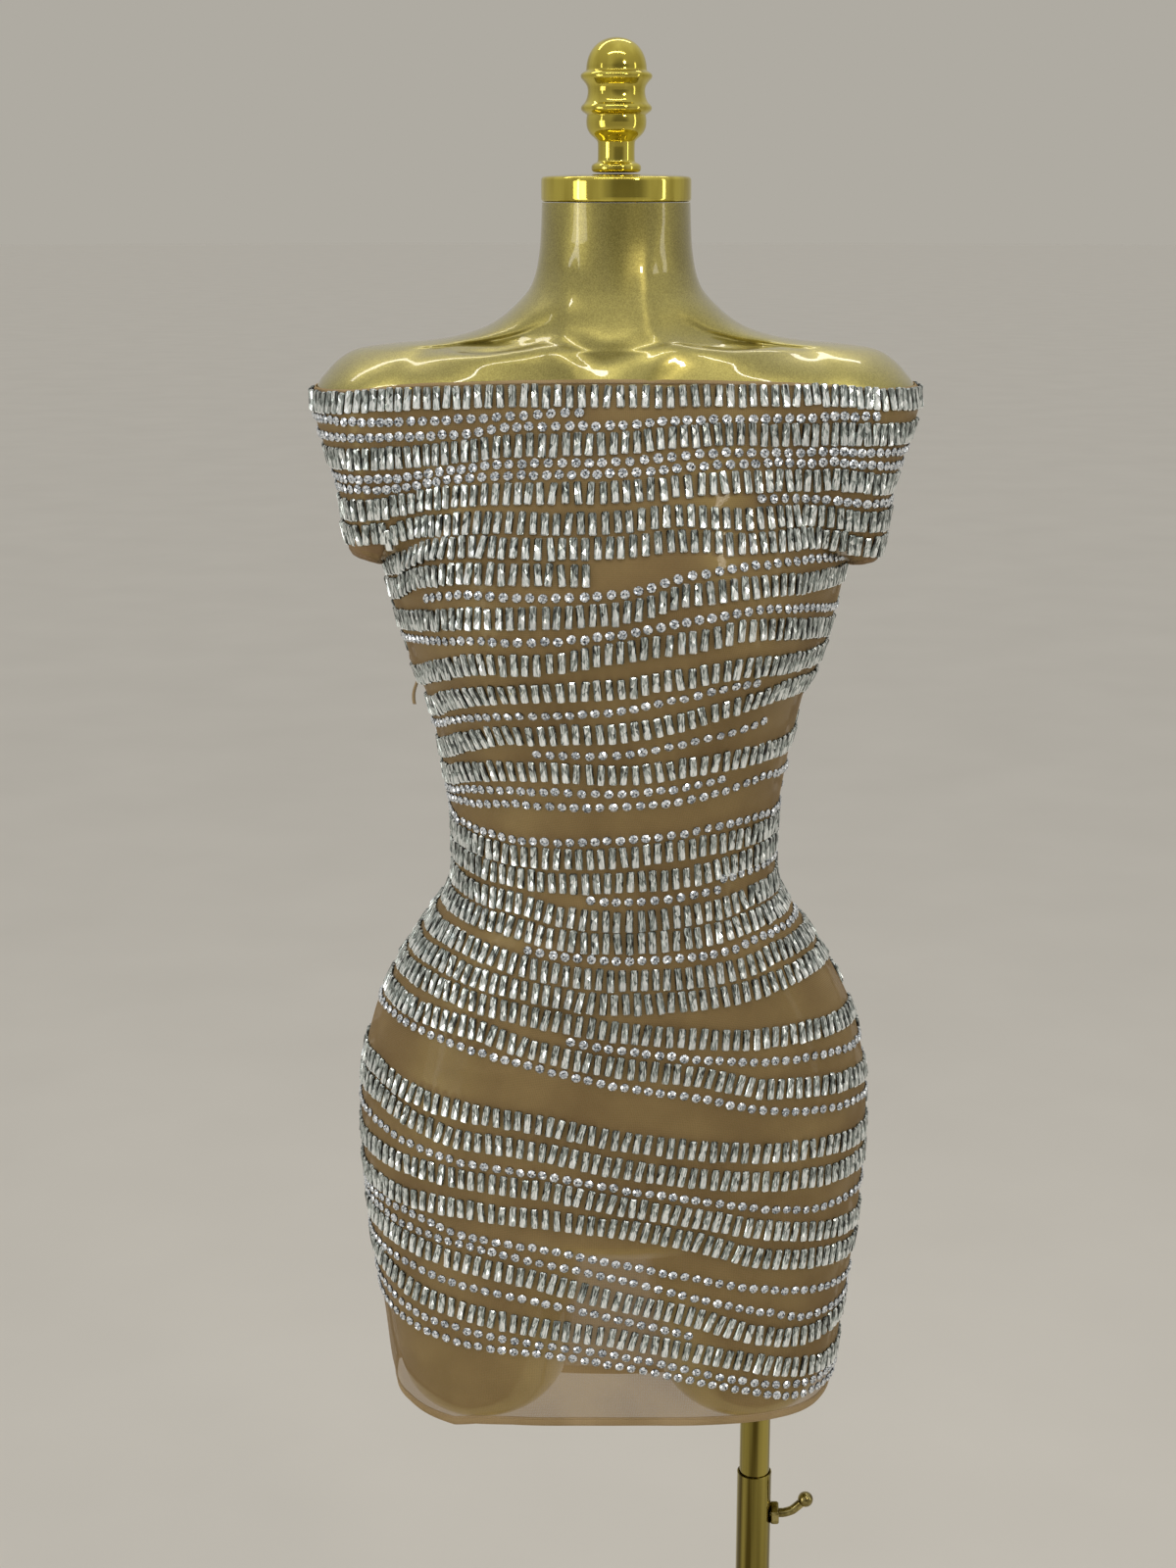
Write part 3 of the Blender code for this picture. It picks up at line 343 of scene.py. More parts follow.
@dataclass(frozen=True)
class PowerMesh:
    """Nylon and elastane power mesh, warp-knitted, dyed nude.

    Fine matt threads with open pores: what lies behind shows through, and the cloth looks denser where
    it is doubled. The real pores are 0.5 mm apart; they are drawn at pore_mm so that they show.
    """

    name: str = "nude_power_mesh"
    thread: str = "#9a8156"
    shade: str = "#876e48"
    cover: float = 0.70
    pore_mm: float = 1.15
    cloud_mm: float = 1000 / 22
    bloom: str = "#e6d3b4"
    roughness: float = 0.72
    ior: float = 1.53

    def build(self) -> bpy.types.Material:
        """Makes the material.

        Returns:
            The material.
        """
        material, tree, shader = start_material(self.name, {
            "Roughness": self.roughness, "IOR": self.ior, "Specular IOR Level": 0.35,
            "Sheen Weight": 0.12, "Sheen Roughness": 0.4, "Sheen Tint": linear(self.bloom),
        })
        place = add_node(tree, "UVMap", {"uv_map": "flat_m"})
        pores = add_node(
            tree, "TexVoronoi", {"feature": "F1", "Scale": 1 / (self.pore_mm * MM), "Randomness": 0.15},
            {"Vector": place.outputs[0]},
        )
        where = add_node(tree, "TexCoord")
        cloud = add_node(
            tree, "TexNoise", {"Scale": 1 / (self.cloud_mm * MM), "Detail": 3.0},
            {"Vector": where.outputs["Object"]},
        )
        tone = add_node(
            tree, "ValToRGB", {"stops": ((0.35, self.shade), (0.68, self.thread))},
            {"Fac": cloud.outputs["Fac"]},
        )
        covered = add_node(
            tree, "MapRange",
            {"From Min": 0.0, "From Max": 0.6, "To Min": self.cover - 0.16, "To Max": self.cover + 0.10},
            {"Value": pores.outputs["Distance"]},
        )
        bump = add_node(
            tree, "Bump", {"Strength": 0.25, "Distance": 0.2 * MM}, {"Height": pores.outputs["Distance"]}
        )
        tree.links.new(tone.outputs["Color"], shader.inputs["Base Color"])
        tree.links.new(covered.outputs["Result"], shader.inputs["Alpha"])
        tree.links.new(bump.outputs["Normal"], shader.inputs["Normal"])
        return material


@dataclass(frozen=True)
class FoiledGlass:
    """Machine-cut glass stone with a silver foil back.

    Every facet shows another part of the foil, and this reflection is painted into the colour, so bright and
    dark patches lie side by side under one clear, sharp gloss. The facet attribute holds how bright the
    foil's painted reflection is on each facet, and a fine noise breaks that into painted streaks of light
    that run along a long stone.
    """

    name: str
    dark: str = "#161a18"
    middle: str = "#7d8682"
    pale: str = "#b9c3c1"
    bright: str = "#fbffff"
    roughness: float = 0.2
    streak_mm: float = 0.8
    stretch: float = 0.10
    contrast: float = 2.3
    ior: float = 1.52

    def build(self) -> bpy.types.Material:
        """Makes the material.

        Returns:
            The material.
        """
        material, tree, shader = start_material(self.name, {
            "Metallic": 0.6, "Roughness": self.roughness,
            "Coat Weight": 1.0, "Coat Roughness": 0.02, "Coat IOR": self.ior,
        })
        # The facet attribute: each face's painted reflection of the foil, kept dark on the side faces.
        foil = add_node(tree, "Attribute", {"attribute_name": "facet"})
        place = add_node(tree, "UVMap", {"uv_map": "flat_m"})
        drawn = add_node(tree, "Mapping", {"Scale": (1.0, self.stretch, 1.0)}, {"Vector": place.outputs[0]})
        streaks = add_node(
            tree, "TexNoise", {"Scale": 1 / (self.streak_mm * MM), "Detail": 1.0},
            {"Vector": drawn.outputs[0]},
        )
        level = add_node(
            tree, "Math", {"operation": "SUBTRACT", 1: self.contrast / 2 - 0.01}, {0: foil.outputs["Fac"]}
        )
        total = add_node(
            tree, "Math", {"operation": "MULTIPLY_ADD", 1: self.contrast},
            {0: streaks.outputs["Fac"], 2: level.outputs[0]},
        )
        stops = ((0.0, self.dark), (0.35, self.middle), (0.65, self.pale), (0.95, self.bright))
        ramp = add_node(tree, "ValToRGB", {"stops": stops}, {"Fac": total.outputs[0]})
        tree.links.new(ramp.outputs["Color"], shader.inputs["Base Color"])
        return material


@dataclass(frozen=True)
class FormPaint:
    """Pearl gold car paint sprayed on a glass-fibre moulding.

    Fine metal flakes glitter under a smooth clear lacquer with a trace of orange peel, and the colour
    turns olive in shade. The flakes are drawn at several times their real size so that they show.
    """

    name: str = "pearl_gold_lacquer"
    light: str = "#bfb464"
    deep: str = "#8b8140"
    flake_mm: float = 0.6
    sparkle: float = 0.30
    cloud_mm: float = 1000 / 9
    peel_mm: float = 4.0
    roughness: float = 0.36
    ior: float = 1.5

    def build(self) -> bpy.types.Material:
        """Makes the material.

        Returns:
            The material.
        """
        material, tree, shader = start_material(self.name, {
            "Metallic": 0.82, "Roughness": self.roughness,
            "Coat Weight": 1.0, "Coat Roughness": 0.04, "Coat IOR": self.ior,
        })
        where = add_node(tree, "TexCoord")
        flakes = add_node(
            tree, "TexVoronoi", {"Scale": 1 / (self.flake_mm * MM)}, {"Vector": where.outputs["Object"]}
        )
        cloud = add_node(
            tree, "TexNoise", {"Scale": 1 / (self.cloud_mm * MM), "Detail": 4.0},
            {"Vector": where.outputs["Object"]},
        )
        mix = add_node(
            tree, "Mix", {"data_type": "FLOAT", 0: self.sparkle},
            {2: cloud.outputs["Fac"], 3: flakes.outputs["Color"]},
        )
        tone = add_node(
            tree, "ValToRGB", {"stops": ((0.3, self.deep), (0.7, self.light))}, {"Fac": mix.outputs[0]}
        )
        peel = add_node(
            tree, "TexNoise", {"Scale": 1 / (self.peel_mm * MM)}, {"Vector": where.outputs["Object"]}
        )
        bump = add_node(
            tree, "Bump", {"Strength": 0.15, "Distance": 0.2 * MM}, {"Height": peel.outputs["Fac"]}
        )
        tree.links.new(tone.outputs["Color"], shader.inputs["Base Color"])
        tree.links.new(bump.outputs["Normal"], shader.inputs["Normal"])
        return material


@dataclass(frozen=True)
class GoldPlate:
    """Steel with an electroplated gold-coloured finish, polished.

    A mirror with a slight yellow-green cast. Its colour and roughness vary along long streaks; on the
    handled pole the dark and light colour streaks are painted reflections of the room, and the dull streaks
    are where it slides and is wiped.
    """

    name: str
    colour: str = "#dccd62"
    shade: str = "#c0b04e"
    roughness: float = 0.05
    dull: float = 0.05
    streak_mm: float = 11.0
    stretch: float = 0.12

    def build(self) -> bpy.types.Material:
        """Makes the material.

        Returns:
            The material.
        """
        material, tree, shader = start_material(self.name, {"Metallic": 1.0})
        where = add_node(tree, "TexCoord")
        drawn = add_node(
            tree, "Mapping", {"Scale": (1.0, 1.0, self.stretch)}, {"Vector": where.outputs["Object"]}
        )
        # Streaks in colour and roughness; on the pole the colour streaks are painted reflections.
        smears_and_reflections = add_node(
            tree, "TexNoise", {"Scale": 1 / (self.streak_mm * MM), "Detail": 3.0},
            {"Vector": drawn.outputs[0]},
        )
        dullest = self.roughness + self.dull
        rough = add_node(
            tree, "MapRange",
            {"From Min": 0.3, "From Max": 0.7, "To Min": dullest, "To Max": self.roughness},
            {"Value": smears_and_reflections.outputs["Fac"]},
        )
        tint = add_node(
            tree, "ValToRGB", {"stops": ((0.40, self.shade), (0.60, self.colour))},
            {"Fac": smears_and_reflections.outputs["Fac"]},
        )
        tree.links.new(rough.outputs["Result"], shader.inputs["Roughness"])
        tree.links.new(tint.outputs["Color"], shader.inputs["Base Color"])
        return material


@dataclass(frozen=True)
class Thread:
    """Spun polyester sewing thread: matt, a little paler than the cloth, so a stitch line just shows."""

    name: str = "sewing_thread"
    colour: str = "#ab9170"
    shade: str = "#9b8365"
    fuzz_mm: float = 0.4

    def build(self) -> bpy.types.Material:
        """Makes the material.

        Returns:
            The material.
        """
        material, tree, shader = start_material(self.name, {"Roughness": 0.8, "Sheen Weight": 0.3})
        where = add_node(tree, "TexCoord")
        fuzz = add_node(
            tree, "TexNoise", {"Scale": 1 / (self.fuzz_mm * MM)}, {"Vector": where.outputs["Object"]}
        )
        tone = add_node(
            tree, "ValToRGB", {"stops": ((0.3, self.shade), (0.7, self.colour))},
            {"Fac": fuzz.outputs["Fac"]},
        )
        tree.links.new(tone.outputs["Color"], shader.inputs["Base Color"])
        return material


def mesh_object(
    name: str,
    points: np.ndarray,
    faces: Sequence[Sequence[int]] | np.ndarray,
    material: bpy.types.Material,
    smooth: bool = True,
    uv: np.ndarray | None = None,
) -> bpy.types.Object:
    """Makes a mesh object.

    Args:
        name: the piece's name.
        points: (N, 3) places in metres.
        faces: point numbers of each face, or an (M, K) array where all have K corners.
        material: its material.
        smooth: whether it is shaded smooth.
        uv: (N, 2) places on the cloth in metres, for a woven or knitted pattern.

    Returns:
        The object, in the scene.
    """
    mesh = bpy.data.meshes.new(name)
    if isinstance(faces, np.ndarray):
        count, corners = faces.shape
        mesh.vertices.add(len(points))
        mesh.vertices.foreach_set("co", np.ascontiguousarray(points, np.float32).ravel())
        mesh.loops.add(count * corners)
        mesh.loops.foreach_set("vertex_index", np.ascontiguousarray(faces, np.int32).ravel())
        mesh.polygons.add(count)
        mesh.polygons.foreach_set("loop_start", np.arange(0, count * corners, corners, dtype=np.int32))
        mesh.update(calc_edges=True)
    else:
        mesh.from_pydata([tuple(p) for p in points], [], [tuple(f) for f in faces])
    if uv is not None:
        layer = mesh.uv_layers.new(name="flat_m")
        index = np.empty(len(mesh.loops), np.int32)
        mesh.loops.foreach_get("vertex_index", index)
        layer.data.foreach_set("uv", np.ascontiguousarray(uv[index], np.float32).ravel())
    mesh.polygons.foreach_set("use_smooth", np.full(len(mesh.polygons), smooth))
    mesh.materials.append(material)
    mesh.validate()
    obj = bpy.data.objects.new(name, mesh)
    bpy.context.scene.collection.objects.link(obj)
    return obj


def grid_faces(across: int, down: int, closed: bool = False) -> np.ndarray:
    """Quads of a grid whose point numbers run down each column, column after column.

    Args:
        across: how many columns.
        down: how many points in each.
        closed: whether the last column joins the first.

    Returns:
        (N, 4) point numbers.
    """
    columns = across if closed else across - 1
    j, k = np.meshgrid(np.arange(columns), np.arange(down - 1), indexing="ij")
    n = (j + 1) % across
    return np.stack([j * down + k, j * down + k + 1, n * down + k + 1, n * down + k], -1).reshape(-1, 4)


def facing(points: np.ndarray, faces: np.ndarray, toward: np.ndarray) -> np.ndarray:
    """Turns a grid's faces round when they look away from the way out.

    Args:
        points: (N, 3) places.
        faces: (M, 4) point numbers.
        toward: (N, 3) the way out at each point.

    Returns:
        (M, 4) point numbers.
    """
    a, b, c, d = (points[faces[:, k]] for k in range(4))
    agree = (np.cross(c - a, d - b) * toward[faces].mean(axis=1)).sum()
    return faces if agree >= 0 else faces[:, ::-1]


def outwards(obj: bpy.types.Object) -> None:
    """Turns every face of a closed mesh round when it is inside out.

    Args:
        obj: the object.
    """
    mesh = obj.data
    mesh.calc_loop_triangles()
    co = np.empty(len(mesh.vertices) * 3, np.float32)
    mesh.vertices.foreach_get("co", co)
    index = np.empty(len(mesh.loop_triangles) * 3, np.int32)
    mesh.loop_triangles.foreach_get("vertices", index)
    a, b, c = co.reshape(-1, 3).astype(float)[index.reshape(-1, 3)].transpose(1, 0, 2)
    if (a * np.cross(b, c)).sum() < 0:
        mesh.flip_normals()


def apply_modifiers(obj: bpy.types.Object) -> None:
    """Replaces an object's mesh by what its modifiers make of it.

    Args:
        obj: the object.
    """
    graph = bpy.context.evaluated_depsgraph_get()
    graph.update()
    mesh = bpy.data.meshes.new_from_object(obj.evaluated_get(graph))
    obj.modifiers.clear()
    obj.data = mesh


def loft(rings: np.ndarray) -> tuple[np.ndarray, list[tuple[int, ...]]]:
    """Joins rings of points into one closed skin.

    Args:
        rings: (R, N, 3) places, ring after ring.

    Returns:
        (R * N, 3) places, column after column, and each face's point numbers, both ends among them.
    """
    down, across = rings.shape[:2]
    faces = [tuple(f) for f in grid_faces(across, down, closed=True)]
    faces.append(tuple(range(0, across * down, down)))
    faces.append(tuple(range(down - 1, across * down, down))[::-1])
    return rings.transpose(1, 0, 2).reshape(-1, 3), faces


def joined(
    lofts: Sequence[tuple[np.ndarray, list[tuple[int, ...]]]]
) -> tuple[np.ndarray, list[tuple[int, ...]]]:
    """Puts several skins into one list of points and one of faces.

    Args:
        lofts: the points and faces of each.

    Returns:
        The points and faces of all.
    """
    faces, first = [], 0
    for points, corners in lofts:
        faces += [tuple(first + k for k in face) for face in corners]
        first += len(points)
    return np.concatenate([points for points, _ in lofts]), faces


def turned_rings(line: np.ndarray, columns: int, x: float = 0.0) -> np.ndarray:
    """Rings about an upright axis.

    Args:
        line: (R, 2) heights and radii.
        columns: how many points round.
        x: where the axis stands.

    Returns:
        (R, columns, 3) places.
    """
    angle = np.linspace(0, 2 * math.pi, columns, endpoint=False)
    radius = np.maximum(line[:, 1], 1e-5)
    heights = np.repeat(line[:, :1], columns, axis=1)
    return np.stack([x + np.outer(radius, np.cos(angle)), np.outer(radius, np.sin(angle)), heights], -1)


def lathe(
    name: str, profile: Sequence[tuple[float, float]], columns: int, material: bpy.types.Material,
    x: float = 0.0, rounds: int = 2, sharp_degrees: float = 35.0,
) -> bpy.types.Object:
    """A turned piece about an upright axis.

    Args:
        name: the piece's name.
        profile: (z, radius) from the bottom up.
        columns: how many faces round.
        material: its material.
        x: where the axis stands.
        rounds: how often the profile's corners are cut, which rounds them.
        sharp_degrees: edges sharper than this stay crisp.

    Returns:
        The object.
    """
    line = np.array(profile, float)
    for _ in range(rounds):
        near, far = 0.75 * line[:-1] + 0.25 * line[1:], 0.25 * line[:-1] + 0.75 * line[1:]
        line = np.concatenate([line[:1], np.stack([near, far], 1).reshape(-1, 2), line[-1:]])
    obj = mesh_object(name, *loft(turned_rings(line, columns, x)), material)
    outwards(obj)
    obj.data.set_sharp_from_angle(angle=math.radians(sharp_degrees))
    return obj


def settle(obj: bpy.types.Object, body: Body, node: str | None = None) -> None:
    """Puts a finished piece on its body and reports it.

    Args:
        obj: the piece.
        body: the body that it rides on.
        node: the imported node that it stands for, if any.
    """
    if node:
        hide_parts(node)
    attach(obj, body.value)
    LOG.info("%s: %d triangles", obj.name, sum(len(p.vertices) - 2 for p in obj.data.polygons))


def arc_lengths(line: np.ndarray) -> np.ndarray:
    """How far along a line of points each point lies."""
    return np.concatenate([[0], np.cumsum(np.linalg.norm(np.diff(line, axis=0), axis=1))])


def distance_to_line(points: np.ndarray, line: np.ndarray) -> np.ndarray:
    """The distance from points to a line of straight runs.

    Args:
        points: (N, 3) places.
        line: (M, 3) places along the line.

    Returns:
        (N,) distances.
    """
    least = np.full(len(points), 1e9)
    for a, b in zip(line[:-1], line[1:]):
        along = b - a
        share = np.clip((points - a) @ along / max(along @ along, 1e-12), 0, 1)
        least = np.minimum(least, np.linalg.norm(points - a - share[:, None] * along, axis=1))
    return least


@dataclass(frozen=True)
class Swell:
    """A pair of rounded forms that stand out from the body: height, width, level and half spacing."""

    height: float
    width: float
    level: float
    half_spacing: float
    tall_above: float
    tall_below: float


@dataclass
class DressSurface:
    """The plain cloth's outer face, as points worked out from the two tables.

    A panel's columns crowd toward the seams where its section is oval, and spread evenly where it is
    flat. The fold fields say where the fold from the armpit runs and where the bridging starts.
    """

    armpit_z: float = 1.246
    bust: Swell = Swell(0.020, 0.042, 1.212, 0.078, 0.050, 0.040)
    seat: Swell = Swell(0.012, 0.050, 0.875, 0.075, 0.055, 0.055)
    swell_fade: float = 2.2
    oval_curve: float = 0.46
    middle_spread: float = 0.12
    bridge_slope: float = 0.12
    bridge_blend: float = 0.003
    bridge_start: float = 0.35
    bridge_run: float = 0.3
    fold_places: tuple[float, ...] = (0.572, 0.696, 0.908, 1.0)
    fold_heights: tuple[float, ...] = (1.279, 1.2671, 1.2514, 1.2475)
    fold_rise: float = 0.012
    sleeve_turn_degrees: tuple[float, float] = (78.0, 26.0)
    body: list[Curve] = field(default_factory=list)
    shoulder: list[Curve] = field(default_factory=list)

    def __post_init__(self) -> None:
        """Fits a curve to each column of the tables."""
        self.body = [Curve.through([r[0] for r in BODY], [r[k] for r in BODY]) for k in range(1, 6)]
        self.shoulder = [
            Curve.through([r[0] for r in SHOULDER], [r[k] for r in SHOULDER]) for k in range(1, 8)
        ]

    def seam(self, z: np.ndarray) -> tuple[np.ndarray, np.ndarray]:
        """Where the right front seam runs: side seam, then armhole.

        Args:
            z: heights.

        Returns:
            The seam's x and y there.
        """
        reach, centre, depth, opening = (self.shoulder[k].at(z / MM) for k in range(4))
        angle = np.radians(opening)
        high = z >= self.armpit_z
        x = np.where(high, centre + (reach - centre) * np.cos(angle), self.body[0].at(z / MM))
        return x * MM, np.where(high, depth * np.sin(angle), 0.0) * MM

    def fullness(self, x: np.ndarray, z: np.ndarray, side: Side) -> np.ndarray:
        """How far the bust, at the front, and the seat, at the back, stand out.

        Args:
            x: places across, in metres.
            z: heights.
            side: front or back.

        Returns:
            The depth to add.
        """
        swell = self.bust if side is Side.FRONT else self.seat
        tall = np.where(z > swell.level, swell.tall_above, swell.tall_below)
        pair = sum(np.exp(-0.5 * ((x - s * swell.half_spacing) / swell.width) ** 2) for s in (-1, 1))
        return swell.height * pair * np.exp(-0.5 * ((z - swell.level) / tall) ** 2)

    def panel(self, t: np.ndarray, z: np.ndarray, side: Side) -> np.ndarray:
        """Points of a panel.

        Args:
            t: places across, from -1 at the left seam to 1 at the right one.
            z: heights.
            side: front or back.

        Returns:
            (N, 3) places.
        """
        seam_x, seam_y = self.seam(z)
        high = z >= self.armpit_z
        column = 0 if side is Side.FRONT else 1
        depth = np.where(high, self.shoulder[4 + column].at(z / MM), self.body[1 + column].at(z / MM)) * MM
        curve = np.where(high, self.shoulder[6].at(z / MM), self.body[4].at(z / MM))
        square = np.where(high, 2.0, self.body[3].at(z / MM))
        even = np.clip((curve - self.oval_curve) / (1 - self.oval_curve), 0, 1)
        s = (1 - even) * np.sin(math.pi / 2 * t) + even * t * (1 + self.middle_spread * (1 - t * t))
        inside = np.maximum(0, 1 - np.abs(s) ** square)
        x = seam_x * s
        y = seam_y + (depth - seam_y) * inside**curve
        y = y + self.fullness(x, z, side) * np.minimum(1, inside * self.swell_fade)
        return np.stack([x, side.value * y, z], -1)

    def sleeve(self, w: np.ndarray, z: np.ndarray, hand: Hand) -> np.ndarray:
        """Points of a sleeve.

        Args:
            w: places round it, from -1 at the front seam over 0 outside to 1 at the back seam.
            z: heights.
            hand: the viewer's side it is on.

        Returns:
            (N, 3) places.
        """
        reach, centre, depth, opening = (self.shoulder[k].at(z / MM) for k in range(4))
        angle = np.radians(opening) * w
        x = centre + (reach - centre) * np.cos(angle)
        return np.stack([hand.value * x * MM, depth * np.sin(angle) * MM, z], -1)

    def bridge(self, points: np.ndarray, weight: np.ndarray, side: np.ndarray | float) -> np.ndarray:
        """Carries cloth straight over the hollow between chest and shoulder, as stretched cloth goes.

        Args:
            points: (N, 3) places on the plain surface.
            weight: how much of the straight line each takes.
            side: the sign of Y on its half.

        Returns:
            (N, 3) places.
        """
        _, centre, depth = (self.shoulder[k].at(points[:, 2] / MM) * MM for k in range(3))
        y = points[:, 1] * side
        line = depth + self.bridge_slope * (centre - np.abs(points[:, 0]))
        over = 0.5 * (y + line + np.sqrt((y - line) ** 2 + self.bridge_blend**2))
        moved = points.copy()
        moved[:, 1] = side * (y + (over - y) * weight)
        return moved

    def cloth_panel(self, t: np.ndarray, z: np.ndarray, side: Side) -> np.ndarray:
        """Points of a panel as its cloth lies, with the fold that runs in from each armpit.

        Args:
            t: places across, from -1 at the left seam to 1 at the right one.
            z: heights.
            side: front or back.

        Returns:
            (N, 3) places.
        """
        fold = np.interp(np.abs(t), self.fold_places, self.fold_heights)
        above = smooth_step((z - fold) / self.fold_rise)
        beside = smooth_step((np.abs(t) - self.bridge_start) / self.bridge_run)
        return self.bridge(self.panel(t, z, side), above * beside, side.value)

    def cloth_sleeve(self, w: np.ndarray, z: np.ndarray, hand: Hand) -> np.ndarray:
        """Points of a sleeve as its cloth lies.

        Args:
            w: places round it, from -1 at the front seam over 0 outside to 1 at the back seam.
            z: heights.
            hand: the viewer's side it is on.

        Returns:
            (N, 3) places.
        """
        start, run = self.sleeve_turn_degrees
        turned = np.abs(w) * self.shoulder[3].at(z / MM)
        above = smooth_step((z - self.fold_heights[-1]) / self.fold_rise)
        beside = smooth_step((turned - start) / run)
        return self.bridge(self.sleeve(w, z, hand), above * beside, np.where(w < 0, -1.0, 1.0))


def normals_of(surface: SURFACE, u: np.ndarray, z: np.ndarray, middle: np.ndarray) -> np.ndarray:
    """Unit normals of a surface, turned away from a middle line.

    Args:
        surface: gives points from places across and heights.
        u: places across.
        z: heights.
        middle: (3,) a point of the upright middle line.

    Returns:
        (N, 3) normals.
    """
    step, rise = 0.004, 0.0015
    along = surface(np.minimum(1, u + step), z) - surface(np.maximum(-1, u - step), z)
    up = surface(u, z + rise) - surface(u, z - rise)
    normal = np.cross(along, up)
    normal /= np.maximum(np.linalg.norm(normal, axis=1), 1e-12)[:, None]
    away = surface(u, z) - middle
    away[:, 2] = 0
    return normal * np.where((normal * away).sum(1) < 0, -1.0, 1.0)[:, None]


@dataclass(frozen=True)
class Crease:
    """A soft fold of the cloth along a line: places across and heights, width and height in mm."""

    line: tuple[tuple[float, float], ...]
    width_mm: float
    height_mm: float


@dataclass
class ClothPiece:
    """One cut piece of the dress: its surface, edges, creases and rows of stones.

    The cloth draws in by tuck_mm under its top edge, over tuck_run_mm, and is uneven by ripple_mm.
    """

    name: str
    node: str
    surface: SURFACE
    middle: np.ndarray
    top: Callable[[np.ndarray], np.ndarray]
    bottom: Callable[[np.ndarray], np.ndarray]
    rows: tuple
    creases: tuple[Crease, ...] = ()
    across: int = 181
    down: int = 241
    flat: tuple[float, float] = (0.4, 0.7)
    flat_area: float = 0.25
    seed: int = 1
    pitch_share: float = 1.0
    tuck_mm: float = 2.0
    tuck_run_mm: float = 7.0
    ripple_mm: float = 0.22

    def base(self, u: np.ndarray, z: np.ndarray) -> tuple[np.ndarray, np.ndarray]:
        """The creased surface.

        Args:
            u: places across, from -1 to 1.
            z: heights.

        Returns:
            (N, 3) places on it, and the plain surface's normals there.
        """
        points = self.surface(u, z)
        normals = normals_of(self.surface, u, z, self.middle)
        lift = np.zeros(len(points))
        for crease in self.creases:
            line = np.array(crease.line)
            fine = np.linspace(0, len(line) - 1, 6 * len(line))
            us = np.interp(fine, range(len(line)), line[:, 0])
            zs = np.interp(fine, range(len(line)), line[:, 1])
            away = distance_to_line(points, self.surface(us, zs))
            lift += crease.height_mm * MM * np.exp(-((away / (crease.width_mm * MM)) ** 2))
        lift -= self.tuck_mm * MM * np.exp(-(((self.top(u) - z) / (self.tuck_run_mm * MM)) ** 2))
        wave = np.sin(u * 23 + z * 61) * np.sin(z * 97 - u * 7 + self.seed)
        return points + normals * (lift + wave * self.ripple_mm * MM)[:, None], normals

    def shell(self, material: bpy.types.Material) -> bpy.types.Object:
        """The cloth as one fine sheet with its pattern laid out in real metres.

        Args:
            material: the cloth.

        Returns:
            The object.
        """
        us = np.linspace(-1, 1, self.across)
        shares = np.linspace(0, 1, self.down)
        u = np.repeat(us, self.down)
        top, bottom = np.repeat(self.top(us), self.down), np.repeat(self.bottom(us), self.down)
        z = top + (bottom - top) * np.tile(shares, self.across)
        points, normals = self.base(u, z)
        grid = points.reshape(self.across, self.down, 3)
        steps = np.linalg.norm(np.diff(grid, axis=0), axis=2)
        run = np.concatenate([np.zeros((1, self.down)), np.cumsum(steps, axis=0)])
        uv = np.stack([run.ravel() - run[-1].mean() / 2, z], -1)
        faces = facing(points, grid_faces(self.across, self.down), normals)
        return mesh_object(self.name, points, faces, material, uv=uv)


@dataclass(frozen=True)
class StoneShape:
    """A cut stone: its points in mm, its faces and how bright each face is painted, as the foil's painted
    reflection or a dark side face.
    """

    points: np.ndarray
    faces: list[tuple[int, ...]]
    foil: np.ndarray


